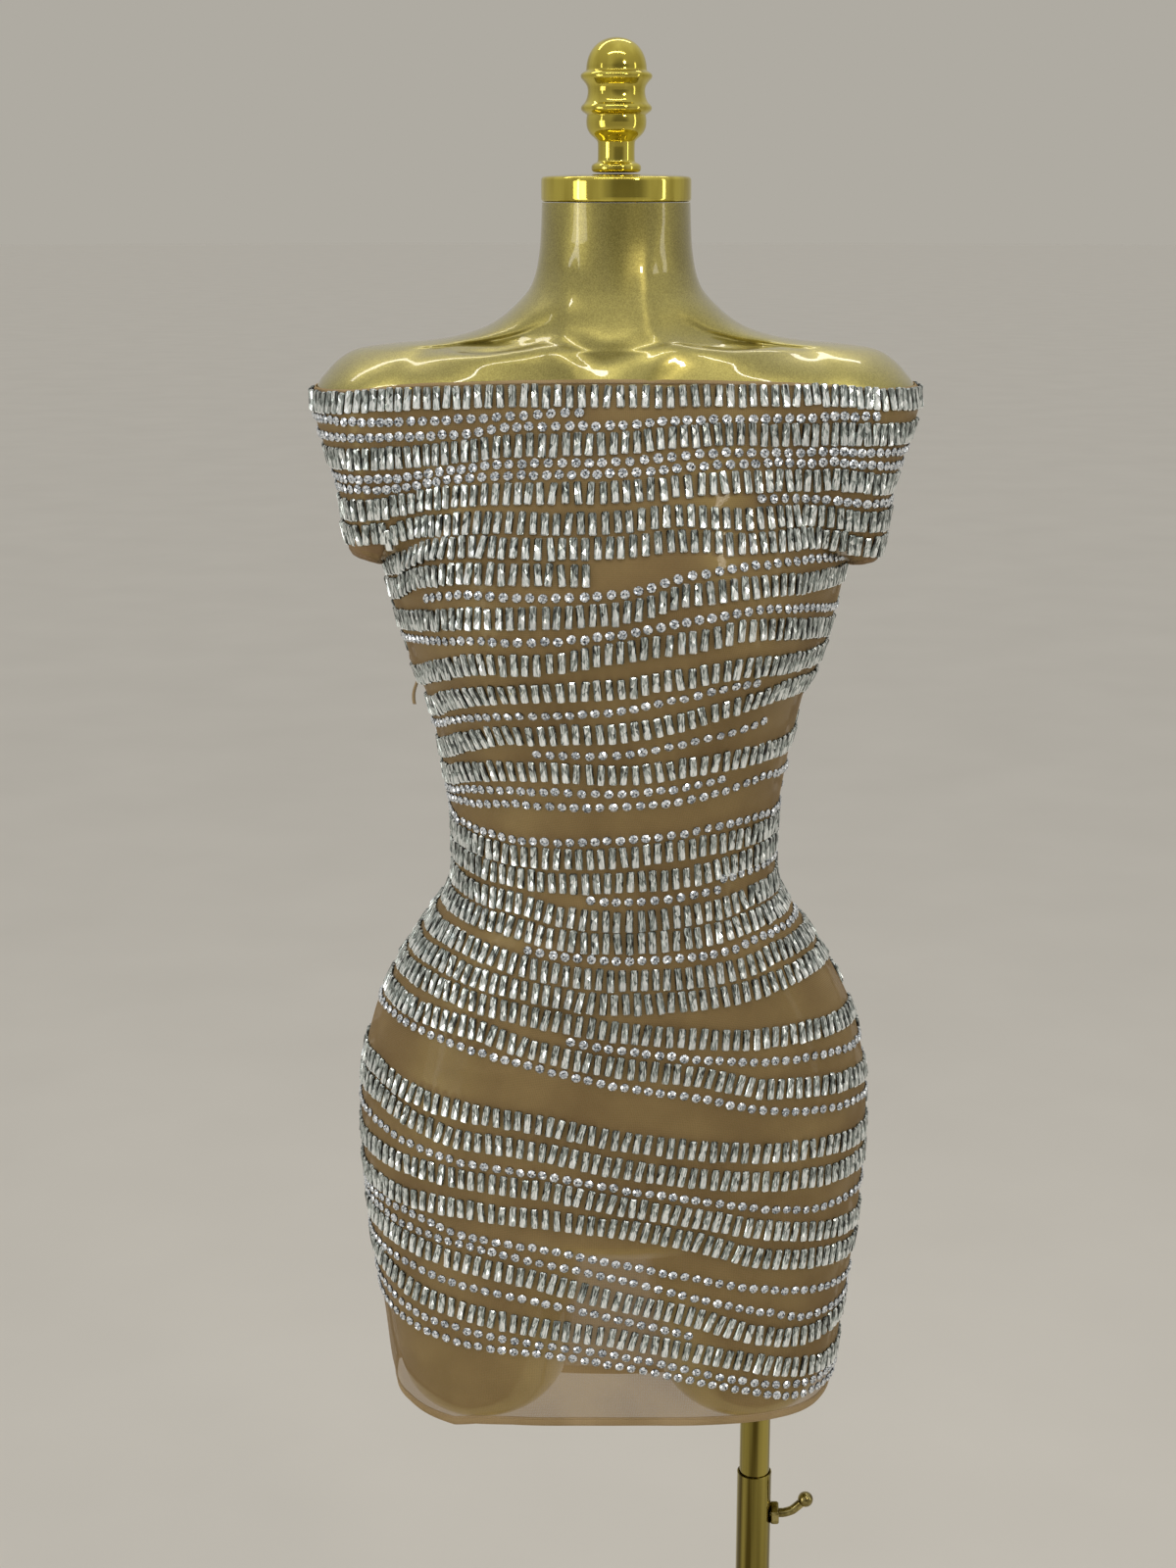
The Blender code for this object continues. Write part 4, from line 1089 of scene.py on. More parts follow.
@dataclass(frozen=True)
class Baguette:
    """A long rectangular stone with cut corners; the foil's V is painted as a darker upper and a brighter
    lower half.

    bevel is how bright the painted reflection of the foil is on each bevel, and facets that on each facet of
    the top, whose corners are points 0 to 11 of the top's outline and the three inner points 12 to 14.
    """

    length_mm: float = 14.4
    width_mm: float = 4.95
    corner_mm: float = 0.9
    girdle_mm: float = 1.0
    height_mm: float = 2.0
    inset_mm: float = 0.7
    wall: float = 0.10
    bevel: tuple[float, ...] = (0.2, 0.6, 0.35, 0.3, 0.35, 0.5, 0.9, 1.0, 0.9, 0.5, 0.3, 0.25)
    facets: tuple[tuple[tuple[int, int, int], float], ...] = (
        ((0, 1, 12), 0.50), ((1, 2, 12), 0.62), ((2, 3, 12), 0.45), ((3, 4, 12), 0.58), ((11, 0, 12), 0.42),
        ((4, 13, 12), 0.66), ((11, 12, 13), 0.50), ((4, 5, 13), 0.42), ((10, 11, 13), 0.60),
        ((5, 14, 13), 0.92), ((10, 13, 14), 0.70), ((5, 6, 14), 0.95), ((6, 7, 14), 0.80),
        ((7, 8, 14), 1.00), ((8, 9, 14), 0.85), ((9, 10, 14), 1.00),
    )

    def outline(self, inset: float, level: float) -> list[tuple[float, float, float]]:
        """Twelve points round the stone, anticlockwise from its upper right.

        Args:
            inset: how far they are drawn in, in mm.
            level: their height, in mm.

        Returns:
            The points.
        """
        w, h = self.width_mm / 2 - inset, self.length_mm / 2 - inset
        c = self.corner_mm * (1 - 0.3 * inset)
        plan = (
            (w, h - c), (w - c, h), (c - w, h), (-w, h - c), (-w, 0.20 * h), (-w, -0.35 * h),
            (-w, c - h), (c - w, -h), (w - c, -h), (w, c - h), (w, -0.20 * h), (w, 0.40 * h),
        )
        return [(x, y, level) for x, y in plan]

    def shape(self) -> StoneShape:
        """Builds the stone: walls, crown bevel and the zigzag facets, with the foil's painted reflection on
        each face.

        Returns:
            The stone.
        """
        half = self.length_mm / 2
        points = [
            *self.outline(0.0, 0.0), *self.outline(0.0, self.girdle_mm),
            *self.outline(self.inset_mm, self.height_mm),
            (0.35, 0.50 * half, 1.75), (-0.30, 0.04 * half, 1.30), (0.30, -0.50 * half, 1.80),
        ]
        n = len(self.bevel)
        faces = [
            (ring + k, ring + (k + 1) % n, ring + n + (k + 1) % n, ring + n + k)
            for ring in (0, n) for k in range(n)
        ]
        faces += [tuple(2 * n + k for k in corners) for corners, _ in self.facets]
        # How bright each face is painted: the side faces kept dark, the bevels and the top's facets as the
        # foil's painted reflection.
        foil = [self.wall] * n + list(self.bevel) + [bright for _, bright in self.facets]
        return StoneShape(np.array(points), faces, np.array(foil))


@dataclass(frozen=True)
class RoundStone:
    """A round flat-back stone with kite facets round a small table."""

    width_mm: float = 6.0
    girdle_mm: float = 0.8
    height_mm: float = 1.8
    table_share: float = 0.62
    table_turn: float = 0.25
    table_dip_mm: float = 0.35
    sides: int = 12
    wall: float = 0.12

    def shape(self) -> StoneShape:
        """Builds the stone.

        Returns:
            The stone.
        """
        n, half = self.sides, self.width_mm / 2
        kites = n // 2
        angles = [2 * math.pi * k / n for k in range(n)]
        low = [(half * math.cos(a), half * math.sin(a), 0.0) for a in angles]
        girdle = [(x, y, self.girdle_mm) for x, y, _ in low]
        table = half * self.table_share
        turns = [2 * math.pi * (k + self.table_turn) / kites for k in range(kites)]
        inner = [(table * math.cos(a), table * math.sin(a), self.height_mm) for a in turns]
        points = [*low, *girdle, *inner, (0.0, 0.0, self.height_mm - self.table_dip_mm)]
        faces = [(k, (k + 1) % n, n + (k + 1) % n, n + k) for k in range(n)]
        # How bright each face is painted: the side faces kept dark, the kites and table facets taking turns
        # of bright and dark as the foil's painted reflection.
        foil = [self.wall] * n
        for k in range(kites):
            here, ahead = 2 * n + k, 2 * n + (k + 1) % kites
            faces.append((n + 2 * k, n + 2 * k + 1, here))
            faces.append((n + 2 * k + 1, n + (2 * k + 2) % n, ahead, here))
            faces.append((here, ahead, 2 * n + kites))
            foil += [(0.9, 0.35)[k % 2], (0.7, 0.95)[k % 2], (0.25, 0.85, 0.6)[k % 3]]
        return StoneShape(np.array(points), faces, np.array(foil))


@dataclass
class StoneSetter:
    """Sets the stones of one cut along the rows of a cloth piece and joins them into one mesh.

    The stones crowd toward the seams, past crowd_from of the way out. From stand_z[0] to stand_z[1]
    they stand less and less square to their row and more upright. uneven_facet and uneven_stone say how much
    the painted reflection differs from facet to facet and from stone to stone, and faces darker than
    darkest_facet, the side faces, keep their dark tone. The rest is how uneven handwork is.
    """

    cut: Cut
    stone: StoneShape
    pitch_mm: float
    crowding: float
    seam_margin_mm: float
    lift_mm: float = 0.15
    tilt_degrees: float = 3.2
    crowd_from: float = 0.35
    end_gap_mm: float = 1.0
    reach_across: float = 0.045
    stand_z: tuple[float, float] = (1.15, 1.22)
    squareness: tuple[float, float] = (1.0, 0.12)
    uneven_pitch: float = 0.045
    uneven_mm: float = 0.25
    uneven_size: float = 0.025
    uneven_facet: float = 0.15
    uneven_stone: float = 0.12
    darkest_facet: float = 0.15

    def spots(
        self, piece: ClothPiece, run: np.ndarray, u: np.ndarray, chance: np.random.Generator
    ) -> np.ndarray:
        """How far along a row each of its stones sits.

        Args:
            piece: the cloth piece.
            run: how far along the row its measured points lie.
            u: their places across.
            chance: the source of small differences.

        Returns:
            The distances, stretched so that the last stone comes to the row's end.
        """
        start = (self.seam_margin_mm if u[0] <= -1 else self.end_gap_mm) * MM
        end = run[-1] - (self.seam_margin_mm if u[-1] >= 1 else self.end_gap_mm) * MM
        spots, spot = [], start
        while spot <= end:
            spots.append(spot)
            share = abs(np.interp(spot, run, u))
            crowd = self.crowding * max(0.0, share - self.crowd_from) / (1 - self.crowd_from)
            pitch = self.pitch_mm * (1 - crowd) * piece.pitch_share * MM
            spot += pitch * (1 + self.uneven_pitch * chance.standard_normal())
        if len(spots) < 2:
            return np.empty(0)
        return start + (np.array(spots) - start) * (end - start) / (spots[-1] - start)

    def places(self, piece: ClothPiece, row: tuple, chance: np.random.Generator) -> list[tuple]:
        """Where a row's stones sit.

        Args:
            piece: the cloth piece.
            row: the row's entry in its table.
            chance: the source of small differences.

        Returns:
            (place, side, up, normal) of each stone.
        """
        first, last, heights = row[1:] if isinstance(row[-1], tuple) else (-1.0, 1.0, row[1:])
        curve = Curve.through(np.linspace(-1, 1, len(heights)), heights)
        u = np.linspace(first, last, 500)
        run = arc_lengths(piece.base(u, curve.at(u) * MM)[0])
        where = np.interp(self.spots(piece, run, u, chance), run, u)
        z = curve.at(where) * MM + chance.standard_normal(len(where)) * self.uneven_mm * MM
        points, normals = piece.base(where, z)
        right = np.minimum(last, where + self.reach_across)
        left = np.maximum(first, where - self.reach_across)
        along = piece.base(right, curve.at(right) * MM)[0] - piece.base(left, curve.at(left) * MM)[0]
        found = []
        for point, normal, tangent in zip(points, normals, along):
            up = np.cross(normal, tangent)
            up = up / np.linalg.norm(up) * (1 if up[2] > 0 else -1)
            upright = np.array((0.0, 0.0, 1.0)) - normal * normal[2]
            square = np.interp(point[2], self.stand_z, self.squareness)
            up = up * square + upright * (1 - square)
            up /= np.linalg.norm(up)
            turn = math.radians(self.tilt_degrees) * chance.standard_normal(3)
            up = up + np.cross(up, normal) * turn[0] + normal * turn[1]
            up /= np.linalg.norm(up)
            side = np.cross(up, normal)
            side = side / np.linalg.norm(side) + normal * turn[2]
            side /= np.linalg.norm(side)
            found.append((point, side, up, np.cross(side, up)))
        return found

    def set_stones(self, piece: ClothPiece, name: str, material: bpy.types.Material) -> bpy.types.Object:
        """Makes the joined mesh of all the stones of this cut on a piece.

        Args:
            piece: the cloth piece.
            name: the new piece's name.
            material: the stones' material.

        Returns:
            The object.
        """
        stone = self.stone
        chance = np.random.default_rng(piece.seed * 100 + ord(self.cut.value))
        rows = [row for row in piece.rows if row[0] == self.cut.value]
        seats = [seat for row in rows for seat in self.places(piece, row, chance)]
        place = np.array([s[0] for s in seats])
        basis = np.array([s[1:] for s in seats])
        count, total = len(seats), len(stone.points)
        size = 1 + self.uneven_size * chance.standard_normal((count, 1, 3))
        uv = (stone.points[None, :, :2] * MM + chance.uniform(0, 1, (count, 1, 2))).reshape(-1, 2)
        local = stone.points[None] * MM * size
        mirrored = np.zeros(count, bool)
        if self.cut is Cut.ROUND:
            spin = chance.uniform(0, 2 * math.pi, count)
            c, s = np.cos(spin)[:, None], np.sin(spin)[:, None]
            x, y = local[:, :, 0].copy(), local[:, :, 1].copy()
            local[:, :, 0], local[:, :, 1] = x * c - y * s, x * s + y * c
        else:
            mirrored = chance.uniform(size=count) < 0.5
            local[:, :, 0] *= np.where(mirrored, -1.0, 1.0)[:, None]
        lift = basis[:, 2][:, None] * self.lift_mm * MM
        points = place[:, None] + np.einsum("nvk,nkd->nvd", local, basis) + lift
        faces = [
            tuple(n * total + k for k in (face[::-1] if mirrored[n] else face))
            for n in range(count) for face in stone.faces
        ]
        # Each stone's painted reflections vary a little from facet to facet and from stone to stone; the
        # dark side faces stay as they are.
        foil = stone.foil[None] + chance.normal(0, self.uneven_facet, (count, len(stone.foil)))
        foil = foil * (1 + self.uneven_stone * chance.standard_normal((count, 1)))
        walls = stone.foil < self.darkest_facet
        foil[:, walls] = stone.foil[walls]
        obj = mesh_object(name, points.reshape(-1, 3), faces, material, smooth=False, uv=uv)
        facet = obj.data.attributes.new("facet", "FLOAT", "FACE")
        facet.data.foreach_set("value", np.clip(foil, 0, 1).astype(np.float32).ravel())
        return obj


@dataclass
class Dress:
    """The dress: four cut pieces, their turned edges, seams, stitches and stones.

    neck_fall is how far the front's and the back's top edges fall toward the seams, and underarm_z is
    where the cuffs end there. hem_mm and cuff_mm are how deep the turning is and how high over the edge
    it is stitched. turning is the profile of a turned edge: shares of its depth, and mm off the cloth.
    seam_profile is that of a seam allowance: shares of its width, and mm behind the cloth.
    """

    surface: DressSurface
    neckline_z: float = 1.3745
    neck_fall: tuple[float, float] = (0.0035, 0.0045)
    hem_z: float = 0.667
    hem_lift: float = 0.0045
    underarm_z: float = 1.2495
    back_hem_drop: float = 0.062
    sleeve_top_z: float = 1.3705
    cuff_z: dict[Hand, float] = field(default_factory=lambda: {Hand.LEFT: 1.2600, Hand.RIGHT: 1.2570})
    crown_z: dict[Hand, float] = field(default_factory=lambda: {Hand.LEFT: 1.3655, Hand.RIGHT: 1.3670})
    neck_turn_mm: float = 2.6
    hem_mm: tuple[float, float] = (6.0, 5.4)
    cuff_mm: tuple[float, float] = (17.0, 2.4)
    stitch_length_mm: float = 2.3
    stitch_gap_mm: float = 0.9
    stitch_lift_mm: float = 0.62
    thread_mm: float = 0.42
    seam_mm: float = 6.0
    armhole_mm: float = 2.0
    armhole_z: tuple[float, float] = (1.264, 1.366)
    turning: tuple[tuple[float, float], ...] = (
        (1.0, -0.45), (0.5, -0.50), (0.06, -0.42), (-0.04, 0.0), (0.06, 0.42), (0.5, 0.52), (0.96, 0.46),
        (1.0, 0.12),
    )
    seam_profile: tuple[tuple[float, float], ...] = (
        (0.0, 0.9), (0.0, 0.25), (0.15, 0.2), (0.2, 0.5), (1.0, 0.6),
    )

    def side_hem(self, u: np.ndarray) -> np.ndarray:
        """The hem's height before any dip: it rides up a little at the right side seam."""
        return self.hem_z + self.hem_lift * np.clip((u - 0.72) / 0.28, 0, 1)

    def front_hem(self, u: np.ndarray) -> np.ndarray:
        """The front hem's height, with the small corner that hangs down near its left end."""
        corner = np.interp(u, (-0.74, -0.503, -0.42, -0.30), (0.0, -0.0045, -0.0012, 0.0))
        return self.side_hem(u) + corner

    def front(self) -> ClothPiece:
        """The front panel, with the folds that the stones pull into it.

        Returns:
            The piece.
        """
        creases = (
            Crease(((-0.91, 1.2514), (-0.70, 1.2671), (-0.57, 1.279)), 2.6, 1.3),
            Crease(((-0.80, 1.241), (-0.62, 1.262)), 5.0, -1.0),
            Crease(((-0.66, 1.0936), (-0.775, 1.0793)), 2.2, 1.5),
            Crease(((0.68, 1.122), (0.765, 1.086)), 3.5, 0.9),
            Crease(((-0.02, 0.9626), (0.11, 0.964), (0.25, 0.9602)), 3.2, 0.9),
            Crease(((-0.30, 0.968), (-0.05, 0.9665)), 5.5, -0.7),
            Crease(((-0.48, 0.9199), (-0.22, 0.9234), (0.03, 0.9158)), 4.0, 1.0),
            Crease(((-0.78, 1.0147), (-0.46, 1.0089), (-0.30, 1.0075), (-0.09, 1.0101)), 3.0, 1.0),
            Crease(((-0.95, 1.186), (-0.78, 1.189), (-0.66, 1.194)), 3.0, 1.1),
        )
        return ClothPiece(
            "mesh_front", "dress_front",
            lambda u, z: self.surface.cloth_panel(u, z, Side.FRONT), np.zeros(3),
            lambda u: self.neckline_z - self.neck_fall[0] * u * u, self.front_hem,
            FRONT_ROWS, creases, flat=(0.430, 0.700), flat_area=0.262, seed=1,
        )

    def back(self) -> ClothPiece:
        """The back panel, whose hem hangs lower in the middle.

        Returns:
            The piece.
        """
        creases = (
            Crease(((-0.55, 1.010), (-0.20, 1.004), (0.25, 1.008)), 3.4, 1.0),
            Crease(((0.20, 1.040), (0.55, 1.036)), 3.0, 0.9),
            Crease(((-0.75, 0.905), (-0.35, 0.898)), 4.0, 0.8),
            Crease(((-0.90, 1.252), (-0.66, 1.268)), 2.6, 1.1),
            Crease(((0.88, 1.250), (0.68, 1.266)), 2.8, 1.1),
        )
        return ClothPiece(
            "mesh_back", "dress_back",
            lambda u, z: self.surface.cloth_panel(u, z, Side.BACK), np.zeros(3),
            lambda u: self.neckline_z - self.neck_fall[1] * u * u,
            lambda u: self.side_hem(u) - self.back_hem_drop * np.maximum(0, 1 - u * u) ** 0.8,
            BACK_ROWS, creases, flat=(0.430, 0.750), flat_area=0.270, seed=2,
        )

    def sleeve(self, hand: Hand) -> ClothPiece:
        """A short close cap sleeve.

        Args:
            hand: the viewer's side it is on.

        Returns:
            The piece.
        """
        crown = self.crown_z[hand]
        left = hand is Hand.LEFT
        return ClothPiece(
            "mesh_sleeve_" + hand.name.lower(), "sleeve_view_" + hand.name.lower(),
            lambda u, z: self.surface.cloth_sleeve(u, z, hand), np.array((hand.value * 0.157, 0.0, 0.0)),
            lambda u: crown + (self.sleeve_top_z - crown) * u * u,
            lambda u: self.cuff_z[hand] - (self.cuff_z[hand] - self.underarm_z) * u**4,
            LEFT_SLEEVE_ROWS if left else RIGHT_SLEEVE_ROWS,
            (
                Crease(((-0.7, 1.262), (-0.2, 1.272)), 4.0, 1.0),
                Crease(((0.2, 1.350), (0.8, 1.352)), 4.0, 0.8),
            ),
            across=91, down=61, flat=(0.205, 0.118), flat_area=0.0175, seed=3 if left else 4,
            pitch_share=0.84,
        )

    def turned_edge(
        self, name: str, piece: ClothPiece, rim: Callable[[np.ndarray], np.ndarray], deep_mm: float,
        material: bpy.types.Material,
    ) -> bpy.types.Object:
        """The doubled cloth folded over an edge.

        Args:
            name: the piece's name.
            piece: the cloth piece.
            rim: the edge's height at each place across.
            deep_mm: how deep the turning is, below 0 where the cloth lies below the edge.
            material: its material.

        Returns:
            The object.
        """
        count, points_across = 240, len(self.turning)
        u = np.linspace(-1, 1, count)
        columns, ways = [], []
        for share, off in self.turning:
            points, normals = piece.base(u, rim(u) + deep_mm * MM * share)
            columns.append(points + normals * off * MM)
            ways.append(normals * off)
        points = np.stack(columns, 1).reshape(-1, 3)
        faces = facing(points, grid_faces(count, points_across), np.stack(ways, 1).reshape(-1, 3))
        uv = np.stack([np.repeat(arc_lengths(columns[0]), points_across), points[:, 2]], -1)
        return mesh_object(name, points, faces, material, uv=uv)

    def stitches(
        self, name: str, lines: Sequence[tuple[np.ndarray, np.ndarray]], material: bpy.types.Material
    ) -> bpy.types.Object:
        """Short raised stitches along lines on the cloth.

        Args:
            name: the piece's name.
            lines: (points, normals) of each line.
            material: the thread.

        Returns:
            The object.
        """
        long = self.stitch_length_mm * MM
        shares = np.array((0.0, 0.2, 0.8, 1.0))
        radii = np.array((0.35, 1.0, 1.0, 0.35)) * self.thread_mm * MM / 2
        made = []
        for line, normals in lines:
            run = arc_lengths(line)
            for start in np.arange(0.002, run[-1] - 0.004, long + self.stitch_gap_mm * MM):
                marks = start + shares * long
                at, out = (
                    np.stack([np.interp(marks, run, v[:, k]) for k in range(3)], -1) for v in (line, normals)
                )
                side = np.cross((at[-1] - at[0]) / np.linalg.norm(at[-1] - at[0]), out)
                side /= np.linalg.norm(side, axis=1)[:, None]
                spokes = np.stack([side, out, -side, -out], 1)
                made.append(loft(at[:, None] + spokes * radii[:, None, None]))
        obj = mesh_object(name, *joined(made), material)
        outwards(obj)
        return obj

    def seam_allowance(
        self, name: str, piece: ClothPiece, ends: tuple[float, float], at: float, width_mm: float,
        material: bpy.types.Material,
    ) -> bpy.types.Object:
        """The cloth sewn back inside a seam, which shows through as a darker stripe.

        Args:
            name: the piece's name.
            piece: the cloth piece that it lies behind.
            ends: lowest and highest height.
            at: the seam's place across, -1 or 1.
            width_mm: how wide it is.
            material: its material.

        Returns:
            The object.
        """
        count, points_across = 150, len(self.seam_profile)
        z = np.linspace(ends[0], ends[1], count)
        edge, normals = piece.base(np.full(count, at), z)
        into = piece.base(np.full(count, at * 0.97), z)[0] - edge
        into /= np.linalg.norm(into, axis=1)[:, None]
        columns = [
            edge + into * width_mm * MM * share - normals * depth * MM for share, depth in self.seam_profile
        ]
        points = np.stack(columns, 1).reshape(-1, 3)
        uv = np.stack([np.tile(np.arange(points_across) * 0.002, count), points[:, 2]], -1)
        faces = facing(points, grid_faces(count, points_across), np.repeat(normals, points_across, axis=0))
        return mesh_object(name, points, faces, material, uv=uv)

    def ribbon_end(self, material: bpy.types.Material) -> bpy.types.Object:
        """The narrow loop end that hangs from the left side seam.

        Args:
            material: its material.

        Returns:
            The object.
        """
        half_width, top, bottom = 1.1 * MM, 1.1700, 1.1535
        x, y, drift = -0.1315, -0.0075, -0.0032
        corners = (
            (-half_width, -0.0004), (half_width, -0.0006), (half_width, 0.0006), (-half_width, 0.0004),
        )
        rings = [
            [(x + drift * math.sin(2.2 * s) + dx, y + dy, top + (bottom - top) * s) for dx, dy in corners]
            for s in np.linspace(0, 1, 15)
        ]
        points, faces = loft(np.array(rings))
        uv = np.stack([points[:, 0], points[:, 2]], -1)
        obj = mesh_object("ribbon_end", points, faces, material, uv=uv)
        outwards(obj)
        return obj

    def trimmings(
        self, piece: ClothPiece, label: str, double: bpy.types.Material, gathered: bpy.types.Material,
        thread: bpy.types.Material,
    ) -> list[bpy.types.Object]:
        """The turned edges, stitch lines and seam allowances of a piece.

        Args:
            piece: the cloth piece.
            label: its short name.
            double: doubled cloth.
            gathered: doubled cloth drawn together.
            thread: sewing thread.

        Returns:
            The objects.
        """
        panel = label in ("front", "back")
        deep, stitched = self.hem_mm if panel else self.cuff_mm
        turned = double if panel else gathered
        made = [
            self.turned_edge("top_turn_" + label, piece, piece.top, -self.neck_turn_mm, double),
            self.turned_edge("bottom_turn_" + label, piece, piece.bottom, deep, turned),
        ]
        lines = []
        u = np.linspace(-0.995, 0.995, 400)
        for rim, off_mm in ((piece.bottom, stitched), (piece.top, 0.5 - self.neck_turn_mm)):
            points, normals = piece.base(u, rim(u) + off_mm * MM)
            lines.append((points + normals * self.stitch_lift_mm * MM, normals))
        made.append(self.stitches("stitches_" + label, lines, thread))
        side = (self.hem_z + 0.002, self.surface.armpit_z - 0.002)
        for at, word in ((-1.0, "left"), (1.0, "right")) if panel else ():
            made += [
                self.seam_allowance(f"seam_{label}_{word}", piece, side, at, self.seam_mm, double),
                self.seam_allowance(
                    f"armhole_{label}_{word}", piece, self.armhole_z, at, self.armhole_mm, double
                ),
            ]
        return made

    def build(self) -> list[bpy.types.Object]:
        """Builds and dresses the whole dress.

        Returns:
            All its pieces.
        """
        cloth = PowerMesh().build()
        double = PowerMesh("turned_power_mesh", thread="#b59c73", shade="#a1885d", cover=0.78).build()
        gathered = PowerMesh("gathered_power_mesh", thread="#8d7351", shade="#765d3c", cover=0.93).build()
        thread = Thread().build()
        glass = FoiledGlass("foiled_baguette_glass").build()
        brilliant = FoiledGlass(
            "foiled_round_glass", "#20242a", "#838b95", "#b9c2cc", "#f6faff", streak_mm=1.2, stretch=1.0
        ).build()
        baguettes = StoneSetter(
            Cut.BAGUETTE, Baguette().shape(), pitch_mm=7.35, crowding=0.22, seam_margin_mm=2.75
        )
        rounds = StoneSetter(
            Cut.ROUND, RoundStone().shape(), pitch_mm=8.1, crowding=0.18, seam_margin_mm=3.2
        )
        made: list[bpy.types.Object] = []
        for piece in [self.front(), self.back(), *(self.sleeve(hand) for hand in Hand)]:
            label = piece.name.removeprefix("mesh_")
            shell = piece.shell(cloth)
            extras = [
                baguettes.set_stones(piece, "baguettes_" + label, glass),
                rounds.set_stones(piece, "rounds_" + label, brilliant),
                *self.trimmings(piece, label, double, gathered, thread),
            ]
            if label == "front":
                extras.append(self.ribbon_end(double))
            settle(shell, Body.FORM, piece.node)
            for extra in extras:
                settle(extra, Body.FORM)
            made += [shell, *extras]
        return made


@dataclass(frozen=True)
class Relief:
    """A raised or sunk line on the form: its width and height in mm, and (x, z) places in mm."""

    width_mm: float
    height_mm: float
    line: tuple[tuple[float, float], ...]


